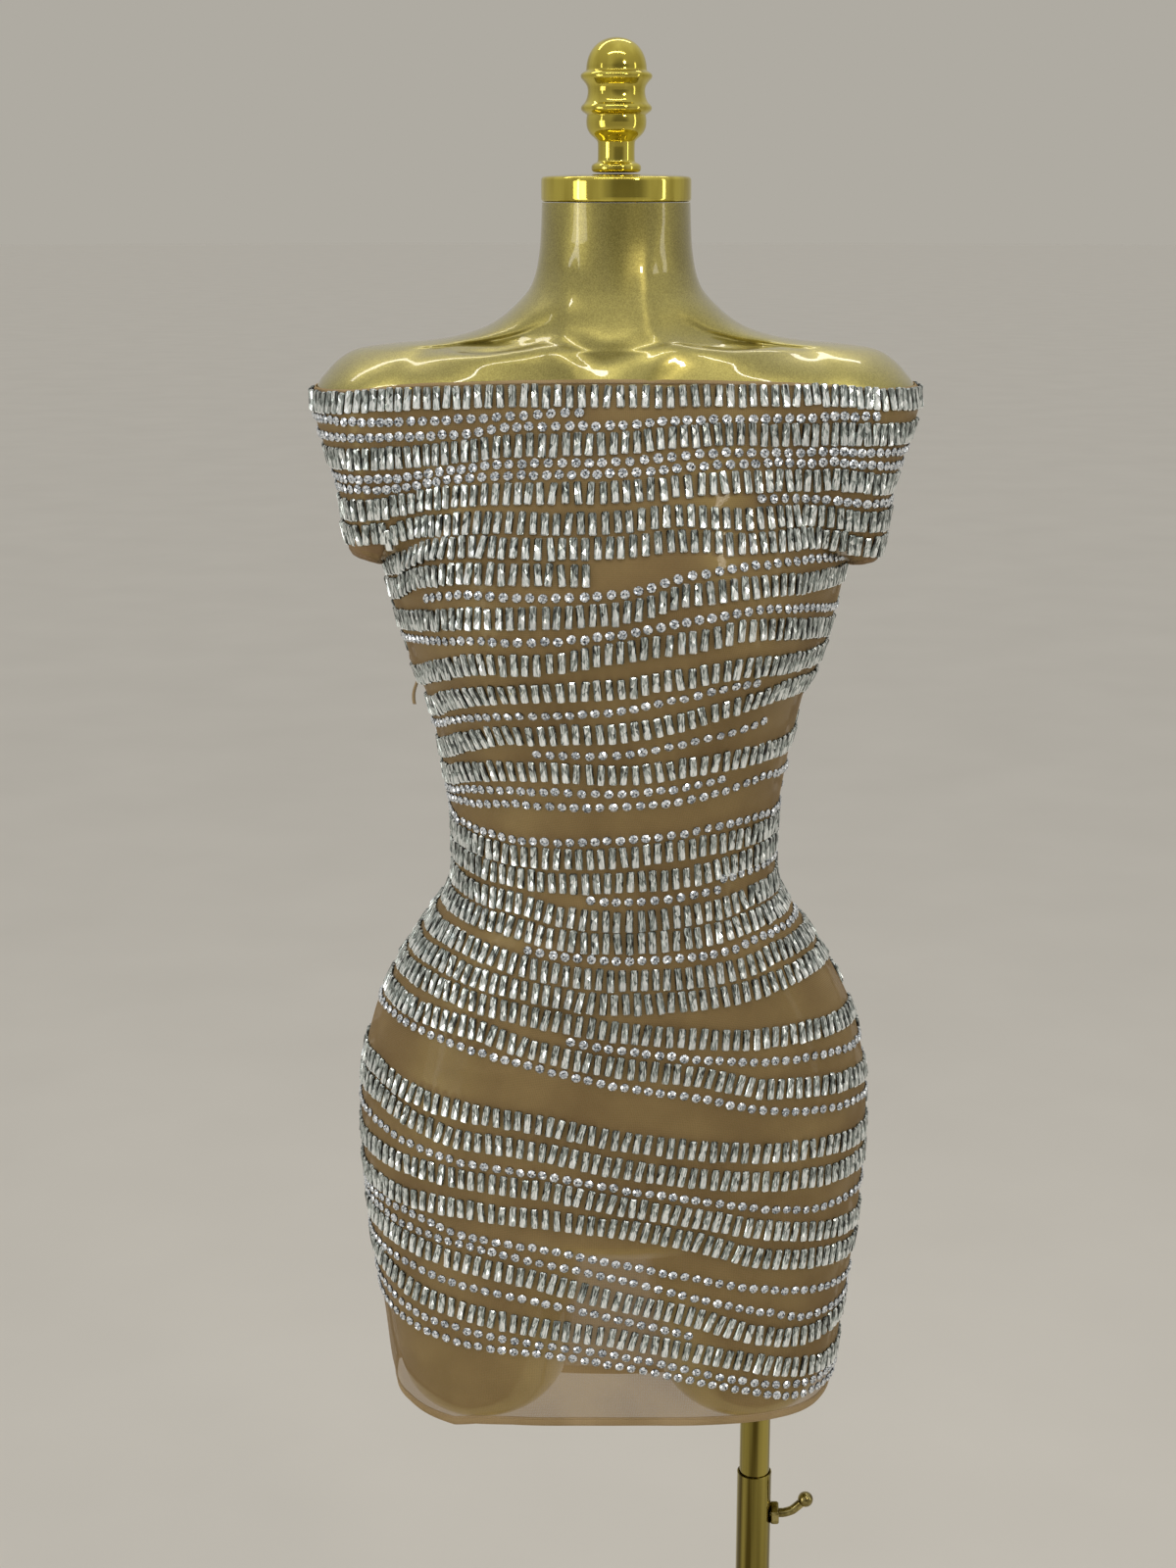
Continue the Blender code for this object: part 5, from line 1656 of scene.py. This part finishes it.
@dataclass
class DressForm:
    """The armless form: one smooth shell from the thigh stumps to the neck, with collarbones.

    The shoulders close over the armholes in a round, which ends at arm_base_z and is arm_round high.
    crotch gives the rings that close the torso between the legs: height, share of the width and of the
    depth. levels are the runs of heights above it. leg gives a thigh stump's sections in mm: height,
    inner and outer side, front and back depth.
    """

    surface: DressSurface
    clear_low_mm: float = 4.6
    clear_high_mm: float = 3.1
    arm_base_z: float = 1.2705
    arm_round: float = 0.022
    leg_columns: int = 96
    hole_gap_mm: float = 0.3
    hole_bottom_z: float = 0.60
    relief_z: tuple[float, float] = (1.33, 1.47)
    sharp_degrees: float = 55.0
    neck_top_z: float = 1.4797
    crotch: tuple[tuple[float, float, float], ...] = (
        (0.7655, 0.04, 0.10), (0.766, 0.10, 0.20), (0.768, 0.22, 0.42), (0.773, 0.36, 0.64),
        (0.781, 0.52, 0.80), (0.793, 0.72, 0.92), (0.812, 0.92, 0.985),
    )
    levels: tuple[tuple[float, float, float], ...] = (
        (0.832, 1.236, 0.006), (1.238, 1.2700, 0.003), (1.2706, 1.2925, 0.0016), (1.294, 1.372, 0.004),
        (1.3735, 1.4045, 0.0007), (1.4055, 1.4797, 0.0028),
    )
    reliefs: tuple[Relief, ...] = (
        Relief(
            8.2, 2.3,
            ((-118, 1385), (-98, 1384.2), (-85, 1384), (-73, 1385.2), (-60, 1387), (-48, 1388.7),
             (-34, 1389.6)),
        ),
        Relief(9.0, 2.1, ((-40, 1391), (-34, 1386), (-30, 1380), (-27, 1370))),
        Relief(9.0, 2.0, ((18, 1370), (24, 1380), (33, 1388), (38, 1391))),
        Relief(
            8.2, 2.3, ((20, 1385.5), (35, 1389.2), (53, 1388.9), (72, 1386.8), (93, 1388.2), (116, 1388.6)),
        ),
        Relief(
            7.0, 1.5,
            ((-66, 1391.8), (-45, 1394.4), (-36, 1397), (-32.5, 1404), (-32, 1418), (-33, 1436),
             (-36, 1458)),
        ),
        Relief(
            7.0, 1.6,
            ((72, 1391), (43, 1394.5), (26, 1396.5), (19, 1404), (17, 1418), (18, 1436), (22, 1460)),
        ),
        Relief(10.0, -3.4, ((-22, 1389), (-9, 1384), (5, 1388))),
        Relief(5.0, -1.8, ((-104, 1389.5), (-85, 1388.8), (-66, 1390.5), (-50, 1393))),
        Relief(5.0, -1.8, ((42, 1393), (60, 1391.4), (78, 1390.4), (100, 1392.2))),
        Relief(6.0, 1.3, ((-24, 1400), (-14, 1396.5), (-6, 1395), (4, 1396), (12, 1399))),
    )
    leg: tuple[tuple[float, ...], ...] = (
        (662.0, 46.0, 138.0, 70, 74), (662.6, 43.0, 141.0, 74, 77), (664.2, 39.5, 144.5, 78, 81),
        (667.0, 36.5, 147.5, 81, 84), (672.0, 33.5, 150.5, 84, 87), (680.0, 31.5, 153.0, 85, 88),
        (700.0, 29.0, 155.5, 84, 89), (725.0, 25.5, 158.5, 83, 90), (750.0, 22.0, 162.0, 81, 91),
        (775.0, 18.5, 165.5, 80, 92), (800.0, 15.0, 168.0, 78, 93), (830.0, 12.0, 169.5, 76, 93),
        (868.0, 10.0, 170.0, 73, 90),
    )

    def clearance(self, z: np.ndarray) -> np.ndarray:
        """How far the form lies behind the cloth, in metres."""
        share = np.clip((z - 1.24) / 0.06, 0, 1)
        return (self.clear_low_mm + (self.clear_high_mm - self.clear_low_mm) * share) * MM

    def ring(self, z: float, width: float = 1.0, depth: float = 1.0, count: int = 360) -> np.ndarray:
        """The form's level outline, evenly spaced, set in behind the cloth.

        Args:
            z: the height.
            width: a share of its width.
            depth: a share of its depth.
            count: how many points.

        Returns:
            (count, 3) places from the back middle round by the right.
        """
        t = np.linspace(-1, 1, 121)
        level = np.full_like(t, z)
        growth = 0.0
        if z > self.surface.armpit_z:
            short = min(1.0, max(0.0, (self.arm_base_z + self.arm_round - z) / self.arm_round))
            growth = math.sqrt(max(0.0, 1 - short * short))
        parts = [self.surface.panel(t, level, Side.FRONT)]
        if z > self.surface.armpit_z:
            arc = self.surface.sleeve(t, level, Hand.RIGHT)
            chord = arc[0] + (arc[-1] - arc[0]) * ((t + 1) / 2)[:, None]
            right = chord + (arc - chord) * growth
            parts += [right, self.surface.panel(t, level, Side.BACK)[::-1], (right * (-1, 1, 1))[::-1]]
        else:
            parts.append(self.surface.panel(t, level, Side.BACK)[::-1])
        raw = np.concatenate(parts)[:, :2]
        keep = np.concatenate([[True], np.linalg.norm(np.diff(raw, axis=0), axis=1) > 1e-6])
        raw = raw[keep]
        raw = np.concatenate([raw, raw[:1]])
        run = arc_lengths(raw)
        even = np.linspace(0, run[-1], count, endpoint=False)
        points = np.stack([np.interp(even, run, raw[:, k]) for k in (0, 1)], -1)
        for _ in range(3):
            points = 0.5 * points + 0.25 * (np.roll(points, 1, 0) + np.roll(points, -1, 0))
        tangent = np.roll(points, -1, 0) - np.roll(points, 1, 0)
        tangent /= np.linalg.norm(tangent, axis=1)[:, None]
        inward = np.stack([-tangent[:, 1], tangent[:, 0]], -1)
        clear = float(self.clearance(np.array(z)))
        ring = (points + inward * clear) * (width, depth)
        start = np.argmin(np.abs(ring[:, 0]) + (ring[:, 1] < 0))
        return np.column_stack([np.roll(ring, -start, 0), np.full(count, z)])

    def torso(self, material: bpy.types.Material) -> bpy.types.Object:
        """The torso, shoulders and neck as one loft, closed between the legs.

        Args:
            material: the form's paint.

        Returns:
            The object.
        """
        levels = np.concatenate([*(np.arange(*run) for run in self.levels), [self.neck_top_z]])
        rings = [self.ring(*section) for section in self.crotch] + [self.ring(float(z)) for z in levels]
        points, faces = loft(np.array(rings))
        points = self.with_relief(points, len(rings[0]), len(rings))
        return mesh_object("form_body", points, faces, material)

    def with_relief(self, points: np.ndarray, across: int, down: int) -> np.ndarray:
        """Moves the front's points out or in along the collarbones, neck cords and hollow.

        Args:
            points: (N, 3) places, column after column.
            across: how many columns.
            down: how many points in each.

        Returns:
            (N, 3) places.
        """
        grid = points.reshape(across, down, 3)
        round_way = np.roll(grid, -1, 0) - np.roll(grid, 1, 0)
        up = np.gradient(grid, axis=1)
        normal = np.cross(round_way, up).reshape(-1, 3)
        normal /= np.maximum(np.linalg.norm(normal, axis=1), 1e-12)[:, None]
        normal *= np.where((normal * points * (1, 1, 0)).sum(1) < 0, -1.0, 1.0)[:, None]
        low, high = self.relief_z
        near = (points[:, 1] < 0.0) & (points[:, 2] > low) & (points[:, 2] < high)
        front = points[near]
        lift = np.zeros(len(front))
        for relief in self.reliefs:
            line = np.array(relief.line) * MM
            marks = np.linspace(0, len(line) - 1, 12 * len(line))
            x, z = (Curve.through(range(len(line)), line[:, k]).at(marks) for k in (0, 1))
            spots = np.array([self.on_front(a, b, front) for a, b in zip(x, z)])
            fade = np.sin(np.linspace(0.05, math.pi - 0.05, len(marks))) ** 0.6
            away = np.linalg.norm(front[:, None] - spots[None], axis=2) / (relief.width_mm * MM)
            lift += relief.height_mm * MM * (fade * np.exp(-(away**2))).max(axis=1)
        moved = points.copy()
        moved[near] += normal[near] * lift[:, None]
        return moved

    @staticmethod
    def on_front(x: float, z: float, points: np.ndarray, blur: float = 0.003) -> np.ndarray:
        """The point of the form's front at an (x, z) place, averaged over a small spot.

        Args:
            x: the place across.
            z: the height.
            points: (N, 3) places on the front.
            blur: how wide the spot is.

        Returns:
            (3,) the point.
        """
        away = (points[:, 0] - x) ** 2 + (points[:, 2] - z) ** 2
        weight = np.exp(-(away - away.min()) / blur**2)
        return np.array((x, float((weight * points[:, 1]).sum() / weight.sum()), z))

    def leg_solid(self, hand: Hand, material: bpy.types.Material) -> bpy.types.Object:
        """One thigh stump as a closed loft, used to join to the torso.

        Args:
            hand: the viewer's side it is on.
            material: the form's paint.

        Returns:
            The object.
        """
        rings = []
        for z, inner, outer, front, back in self.leg:
            a = np.linspace(0, 2 * math.pi, self.leg_columns, endpoint=False)
            x = (inner + outer) / 2 + (outer - inner) / 2 * np.cos(a)
            y = np.where(np.sin(a) < 0, front, back) * np.sin(a)
            rings.append(np.stack([hand.value * x, y, np.full_like(a, z)], -1) * MM)
        obj = mesh_object("leg_" + hand.name.lower(), *loft(np.array(rings)), material)
        outwards(obj)
        return obj

    def build(self) -> bpy.types.Object:
        """Builds the form, joins its stumps, bores it for the pole and dresses it.

        Returns:
            The form.
        """
        paint = FormPaint().build()
        form = self.torso(paint)
        outwards(form)
        low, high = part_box("upper_tube")
        radius = (high.x - low.x) / 2 + self.hole_gap_mm * MM
        top = high.z + self.hole_gap_mm * MM
        hole = lathe(
            "hole", ((self.hole_bottom_z, 0.0), (self.hole_bottom_z, radius), (top, radius), (top, 0.0)),
            96, paint, x=(low.x + high.x) / 2, rounds=0,
        )
        helpers = [*((self.leg_solid(hand, paint), "UNION") for hand in Hand), (hole, "DIFFERENCE")]
        for helper, operation in helpers:
            modifier = form.modifiers.new(operation.lower(), "BOOLEAN")
            modifier.operation, modifier.object, modifier.solver = operation, helper, "EXACT"
        apply_modifiers(form)
        for helper, _ in helpers:
            bpy.data.objects.remove(helper, do_unlink=True)
        form.data.set_sharp_from_angle(angle=math.radians(self.sharp_degrees))
        settle(form, Body.FORM, "form_torso")
        return form


@dataclass
class CapAndFinial:
    """The plated cap that closes the neck and the turned finial screwed on it."""

    cap: tuple[tuple[float, float], ...] = (
        (1.4800, 0.0010), (1.4800, 0.0440), (1.4800, 0.0462), (1.4806, 0.0474), (1.4818, 0.0480),
        (1.4840, 0.0480), (1.4930, 0.0480), (1.4945, 0.0478), (1.4956, 0.0468), (1.4960, 0.0450),
        (1.4966, 0.0380), (1.4974, 0.0150), (1.4976, 0.0010),
    )
    finial: tuple[tuple[float, float], ...] = (
        (1.4979, 0.0010), (1.4979, 0.0090), (1.4981, 0.0128), (1.4984, 0.0146), (1.4995, 0.0157),
        (1.5010, 0.0159), (1.5024, 0.0157), (1.5036, 0.0146), (1.5044, 0.0128), (1.5050, 0.0119),
        (1.5070, 0.0117), (1.5160, 0.0117), (1.5176, 0.0121), (1.5192, 0.0138), (1.5218, 0.0168),
        (1.5252, 0.0187), (1.5290, 0.0192), (1.5322, 0.0189), (1.5334, 0.0186), (1.5340, 0.0194),
        (1.5352, 0.0212), (1.5364, 0.0224), (1.5380, 0.0226), (1.5394, 0.0218), (1.5410, 0.0200),
        (1.5440, 0.0186), (1.5480, 0.0180), (1.5512, 0.0186), (1.5540, 0.0208), (1.5554, 0.0222),
        (1.5568, 0.0228), (1.5582, 0.0225), (1.5594, 0.0210), (1.5602, 0.0194), (1.5616, 0.0191),
        (1.5640, 0.0190), (1.5690, 0.0178), (1.5738, 0.0152), (1.5776, 0.0112), (1.5798, 0.0065),
        (1.5806, 0.0020), (1.5807, 0.0005),
    )
    columns: int = 128

    def build(self) -> list[bpy.types.Object]:
        """Builds both pieces.

        Returns:
            The cap and the finial.
        """
        gold = GoldPlate("polished_gold_plate").build()
        made = []
        for node, profile in (("neck_cap", self.cap), ("finial", self.finial)):
            obj = lathe(node.removeprefix("neck_") + "_turned", profile, self.columns, gold)
            settle(obj, Body.FORM, node)
            made.append(obj)
        return made


@dataclass
class Stand:
    """The telescoping pole, its clamp and the round plate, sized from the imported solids.

    socket gives the socket's profile as (height over its foot, radius) up to the neck, and neck as
    (depth below its top, radius). rim gives the plate's edge as (height from its face, depth in from
    its rim). nut gives the nut's stations as (place from the tube or from its end, share of its size).
    """

    columns: int = 96
    plate_columns: int = 192
    tube_wall: float = 0.0014
    sliding_gap: float = 0.0003
    bore_depth: float = 0.09
    middle: float = 0.001
    socket: tuple[tuple[float, float], ...] = ((0.0050, 0.0190), (0.0070, 0.0174))
    neck: tuple[tuple[float, float], ...] = ((0.0030, 0.0168), (0.0010, 0.0166), (0.0, 0.0150))
    rim: tuple[tuple[float, float], ...] = ((0.0, 0.0014), (0.0004, 0.0004), (0.0012, 0.0))
    nut_foot: tuple[tuple[float, float], ...] = ((-0.0002, 0.86), (0.0006, 1.0))
    nut_end: tuple[tuple[float, float], ...] = ((-0.0012, 1.0), (-0.0004, 0.95), (0.0, 0.86), (0.0, 0.45))
    nut_edge: float = 0.0005
    screw_reach: float = 0.0375
    screw_bend: tuple[tuple[float, ...], ...] = (
        (0.0, 0.35, 0.62, 0.80, 1.0), (0.0, 0.0, 0.0018, 0.0055, 0.0108),
    )
    screw_steps: int = 40
    screw_sides: int = 32
    ball_steps: int = 20
    ball_place: tuple[float, float] = (0.0005, 0.0110)
    nut_across: float = 0.016
    screw_radius: float = 0.0033
    ball_radius: float = 0.0056

    def pole(self, axis: float, inner: float, outer: float) -> list[bpy.types.Object]:
        """The upper and lower tube and the socket that holds them.

        Args:
            axis: the pole's x.
            inner: the upper tube's radius.
            outer: the lower tube's radius.

        Returns:
            The pieces.
        """
        # The pole's dark and light colour streaks are painted reflections of the room, and its dull streaks
        # wear from sliding.
        gold = GoldPlate("wiped_gold_plate", "#ab9d52", "#54481d", 0.09, 0.10, 9.0, 0.012).build()
        low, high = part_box("upper_tube")
        upper = (
            (low.z, inner - self.tube_wall), (low.z, inner), (high.z, inner), (high.z, self.middle),
        )
        low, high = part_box("lower_tube")
        bore = inner + self.sliding_gap
        lower = (
            (high.z - self.bore_depth, bore), (high.z - 0.0006, bore), (high.z, bore + 0.0003),
            (high.z, outer - 0.0005), (high.z - 0.0005, outer), (low.z, outer), (low.z, self.middle),
        )
        low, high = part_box("base_socket")
        flange, fit = (high.x - low.x) / 2, outer + self.sliding_gap
        socket = (
            (low.z, fit), (low.z, flange - 0.0006), (low.z + 0.0008, flange), (low.z + 0.0026, flange),
            (low.z + 0.0036, flange - 0.0010), *((low.z + up, radius) for up, radius in self.socket),
            *((high.z - down, radius) for down, radius in self.neck), (high.z, fit),
        )
        return [
            lathe("tube_upper", upper, self.columns, gold, x=axis, rounds=0),
            lathe("tube_lower", lower, self.columns, gold, x=axis, rounds=0),
            lathe("socket_turned", socket, self.columns, gold, x=axis, rounds=1),
        ]

    def plate(self) -> bpy.types.Object:
        """The round plate.

        Returns:
            The object.
        """
        calm = GoldPlate("dulled_gold_plate", "#b5a75c", "#a3954f", 0.16, 0.06, 60.0, 1.0).build()
        _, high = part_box("base_plate")
        profile = (
            (0.0, self.middle), *((up, high.x - back) for up, back in self.rim),
            *((high.z - up, high.x - back) for up, back in self.rim[::-1]), (high.z, self.middle),
        )
        return lathe("plate_turned", profile, self.plate_columns, calm, rounds=0)

    def build(self) -> list[bpy.types.Object]:
        """Builds and dresses the stand's pieces.

        Returns:
            The pieces.
        """
        low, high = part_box("upper_tube")
        axis, inner = (low.x + high.x) / 2, (high.x - low.x) / 2
        low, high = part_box("lower_tube")
        outer = (high.x - low.x) / 2
        made = [*self.pole(axis, inner, outer), self.plate(), *self.clamp(axis, outer)]
        for obj, node, body in zip(
            made,
            ("upper_tube", "lower_tube", "base_socket", "base_plate", "clamp_nut", "clamp_screw"),
            (Body.MAST, Body.BASE, Body.BASE, Body.BASE, Body.BASE, Body.CLAMP),
        ):
            settle(obj, body, node)
        return made

    def clamp(self, axis: float, outer: float) -> tuple[bpy.types.Object, bpy.types.Object]:
        """The hexagonal nut beside the lower tube, and the bent screw with its ball.

        Args:
            axis: the pole's x.
            outer: the lower tube's radius.

        Returns:
            The nut and the screw.
        """
        worn = GoldPlate("worn_gold_plate", "#a99c66", "#6d6135", 0.16, 0.12, 6.0, 1.0).build()
        low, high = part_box("clamp_nut")
        level = (low.z + high.z) / 2
        stations = [(axis + outer + off, share) for off, share in self.nut_foot]
        stations += [(high.x + off, share) for off, share in self.nut_end]
        a = 2 * math.pi * (np.arange(6) + 0.5) / 6
        corner = self.nut_across / math.sqrt(3)
        rings = [
            np.stack([np.full(6, x), corner * share * np.cos(a), level + corner * share * np.sin(a)], -1)
            for x, share in stations
        ]
        nut = mesh_object("nut_hexagon", *loft(np.array(rings)), worn, smooth=False)
        outwards(nut)
        bevel = nut.modifiers.new("worn_edges", "BEVEL")
        bevel.width, bevel.segments, bevel.limit_method = self.nut_edge, 3, "ANGLE"
        apply_modifiers(nut)

        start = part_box("clamp_screw")[0].x
        shares = np.linspace(0, 1, self.screw_steps)
        x = start + (axis + self.screw_reach - start) * shares
        z = Curve.through(*self.screw_bend).at(shares) + level
        dx, dz = (np.diff(v, prepend=v[0], append=v[-1]) for v in (x, z))
        dx, dz = dx[:-1] + dx[1:], dz[:-1] + dz[1:]
        long = np.hypot(dx, dz)
        angle = np.arange(self.screw_sides) * 2 * math.pi / self.screw_sides
        c, s = np.cos(angle) * self.screw_radius, np.sin(angle) * self.screw_radius
        rings = np.stack([
            x[:, None] - np.outer(dz / long, c), np.tile(-s, (len(x), 1)),
            z[:, None] + np.outer(dx / long, c),
        ], -1)
        turn = np.linspace(0, math.pi, self.ball_steps + 1)
        across, up = self.ball_place
        arc = np.stack([level + up - self.ball_radius * np.cos(turn), self.ball_radius * np.sin(turn)], -1)
        ball = turned_rings(arc, self.screw_sides, x[-1] + across)
        screw = mesh_object("screw_bent", *joined([loft(rings), loft(ball)]), worn)
        outwards(screw)
        return nut, screw


@dataclass
class Studio:
    """The pale floor, the soft lights and the camera at the photograph's angle."""

    camera_place: tuple[float, float, float] = (-0.01797, -1.55, 1.49175)
    camera_pitch: float = 14.3135
    focal_px: float = 2404.0
    picture_px: float = 1600.0
    sensor_mm: float = 36.0
    floor_reach: float = 60.0
    floor_sides: int = 96
    dark_zone: tuple[float, float, float] = (0.25, -0.968, 0.0)

    def camera(self) -> None:
        """Places the camera and makes it the scene's."""
        data = bpy.data.cameras.new("view")
        data.sensor_width = self.sensor_mm
        data.lens = self.sensor_mm * self.focal_px / self.picture_px
        data.clip_start, data.clip_end = 0.01, 60.0
        obj = bpy.data.objects.new("view", data)
        obj.location = self.camera_place
        obj.rotation_euler = (math.radians(90 - self.camera_pitch), 0.0, 0.0)
        bpy.context.scene.collection.objects.link(obj)
        bpy.context.scene.camera = obj

    def light(
        self, name: str, place: Sequence[float], aim: Sequence[float], size: tuple[float, float],
        watts: float, tint: str,
    ) -> None:
        """Adds one rectangular soft light.

        Args:
            name: its name.
            place: where it hangs.
            aim: what it points at.
            size: width and height in metres.
            watts: its power.
            tint: its colour.
        """
        data = bpy.data.lights.new(name, "AREA")
        data.shape = "RECTANGLE"
        data.size, data.size_y = size
        data.energy = watts
        data.color = linear(tint)[:3]
        obj = bpy.data.objects.new(name, data)
        obj.location = place
        obj.rotation_euler = (Vector(aim) - Vector(place)).to_track_quat("-Z", "Y").to_euler()
        obj.visible_camera = False
        bpy.context.scene.collection.objects.link(obj)

    def floor(self) -> None:
        """A wide plain pale floor."""
        material, tree, shader = start_material("matt_floor", {"Roughness": 0.85})
        where = add_node(tree, "TexCoord")
        cloud = add_node(
            tree, "TexNoise", {"Scale": 3.0, "Detail": 6.0}, {"Vector": where.outputs["Object"]}
        )
        tone = add_node(
            tree, "ValToRGB", {"stops": ((0.3, "#d5d2cc"), (0.7, "#d9d6d0"))}, {"Fac": cloud.outputs["Fac"]}
        )
        tree.links.new(tone.outputs["Color"], shader.inputs["Base Color"])
        a = 2 * math.pi * np.arange(self.floor_sides) / self.floor_sides
        points = np.stack([np.cos(a), np.sin(a), np.zeros_like(a)], -1) * self.floor_reach
        mesh_object("floor", points, [tuple(range(self.floor_sides))], material)

    def world(self) -> None:
        """Soft room light: bright above, dimmer behind the camera, so that gold and glass have contrast."""
        world = bpy.data.worlds.new("room")
        world.use_nodes = True
        tree = world.node_tree
        tree.nodes.clear()
        where = add_node(tree, "TexCoord")
        split = add_node(tree, "SeparateXYZ", links={0: where.outputs["Generated"]})
        stops = ((0.0, "#afaba2"), (0.10, "#afaba2"), (0.5, "#c6c3bc"), (1.0, "#dbd9d5"))
        height = add_node(tree, "ValToRGB", {"stops": stops}, {"Fac": split.outputs["Z"]})
        toward = add_node(
            tree, "VectorMath", {"operation": "DOT_PRODUCT", 1: self.dark_zone},
            {0: where.outputs["Generated"]},
        )
        behind = add_node(
            tree, "MapRange", {"From Min": 0.78, "From Max": 0.94, "To Min": 1.0, "To Max": 0.5},
            {"Value": toward.outputs["Value"]},
        )
        shade = add_node(
            tree, "Mix", {"data_type": "RGBA", "blend_type": "MULTIPLY", "Factor": 1.0},
            {6: height.outputs["Color"], 7: behind.outputs["Result"]},
        )
        back = add_node(tree, "Background", {"Strength": 1.0}, {"Color": shade.outputs[2]})
        add_node(tree, "OutputWorld", links={0: back.outputs[0]})
        bpy.context.scene.world = world

    def build(self) -> None:
        """Sets the whole studio up."""
        self.camera()
        self.floor()
        self.world()
        middle = (0.0, 0.0, 1.1)
        self.light("key", (1.5, -2.4, 2.7), middle, (0.32, 0.32), 13, "#fff6ea")
        self.light("overhead_front", (0.0, -0.9, 2.9), (0.0, 0.0, 1.3), (1.8, 0.06), 6, "#fffaf2")
        self.light("overhead_back", (-0.3, 0.9, 2.9), (0.0, 0.0, 1.2), (2.2, 0.16), 6, "#fffaf2")
        self.light("fill_left", (-2.2, -1.4, 1.0), middle, (1.0, 1.4), 12, "#f8f4ec")
        self.light("strip_left", (-2.0, -1.15, 1.3), middle, (0.14, 1.9), 3, "#f8f8ff")
        self.light("strip_right", (2.1, -0.5, 1.3), middle, (0.18, 1.9), 3, "#fffaf2")
        view = bpy.context.scene.view_settings
        view.view_transform, view.look = "Standard", "None"


def main() -> None:
    """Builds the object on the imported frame, piece by piece."""
    logging.basicConfig(level=logging.INFO, format="%(name)s %(message)s")
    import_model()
    Studio().build()
    surface = DressSurface()
    parts: dict[str, Sequence[bpy.types.Object]] = {
        "form": [DressForm(surface).build()],
        "cap and finial": CapAndFinial().build(),
        "stand": Stand().build(),
        "dress": Dress(surface).build(),
    }
    for name, pieces in parts.items():
        LOG.info("%s: %d pieces", name, len(pieces))


if __name__ == "__main__":
    main()
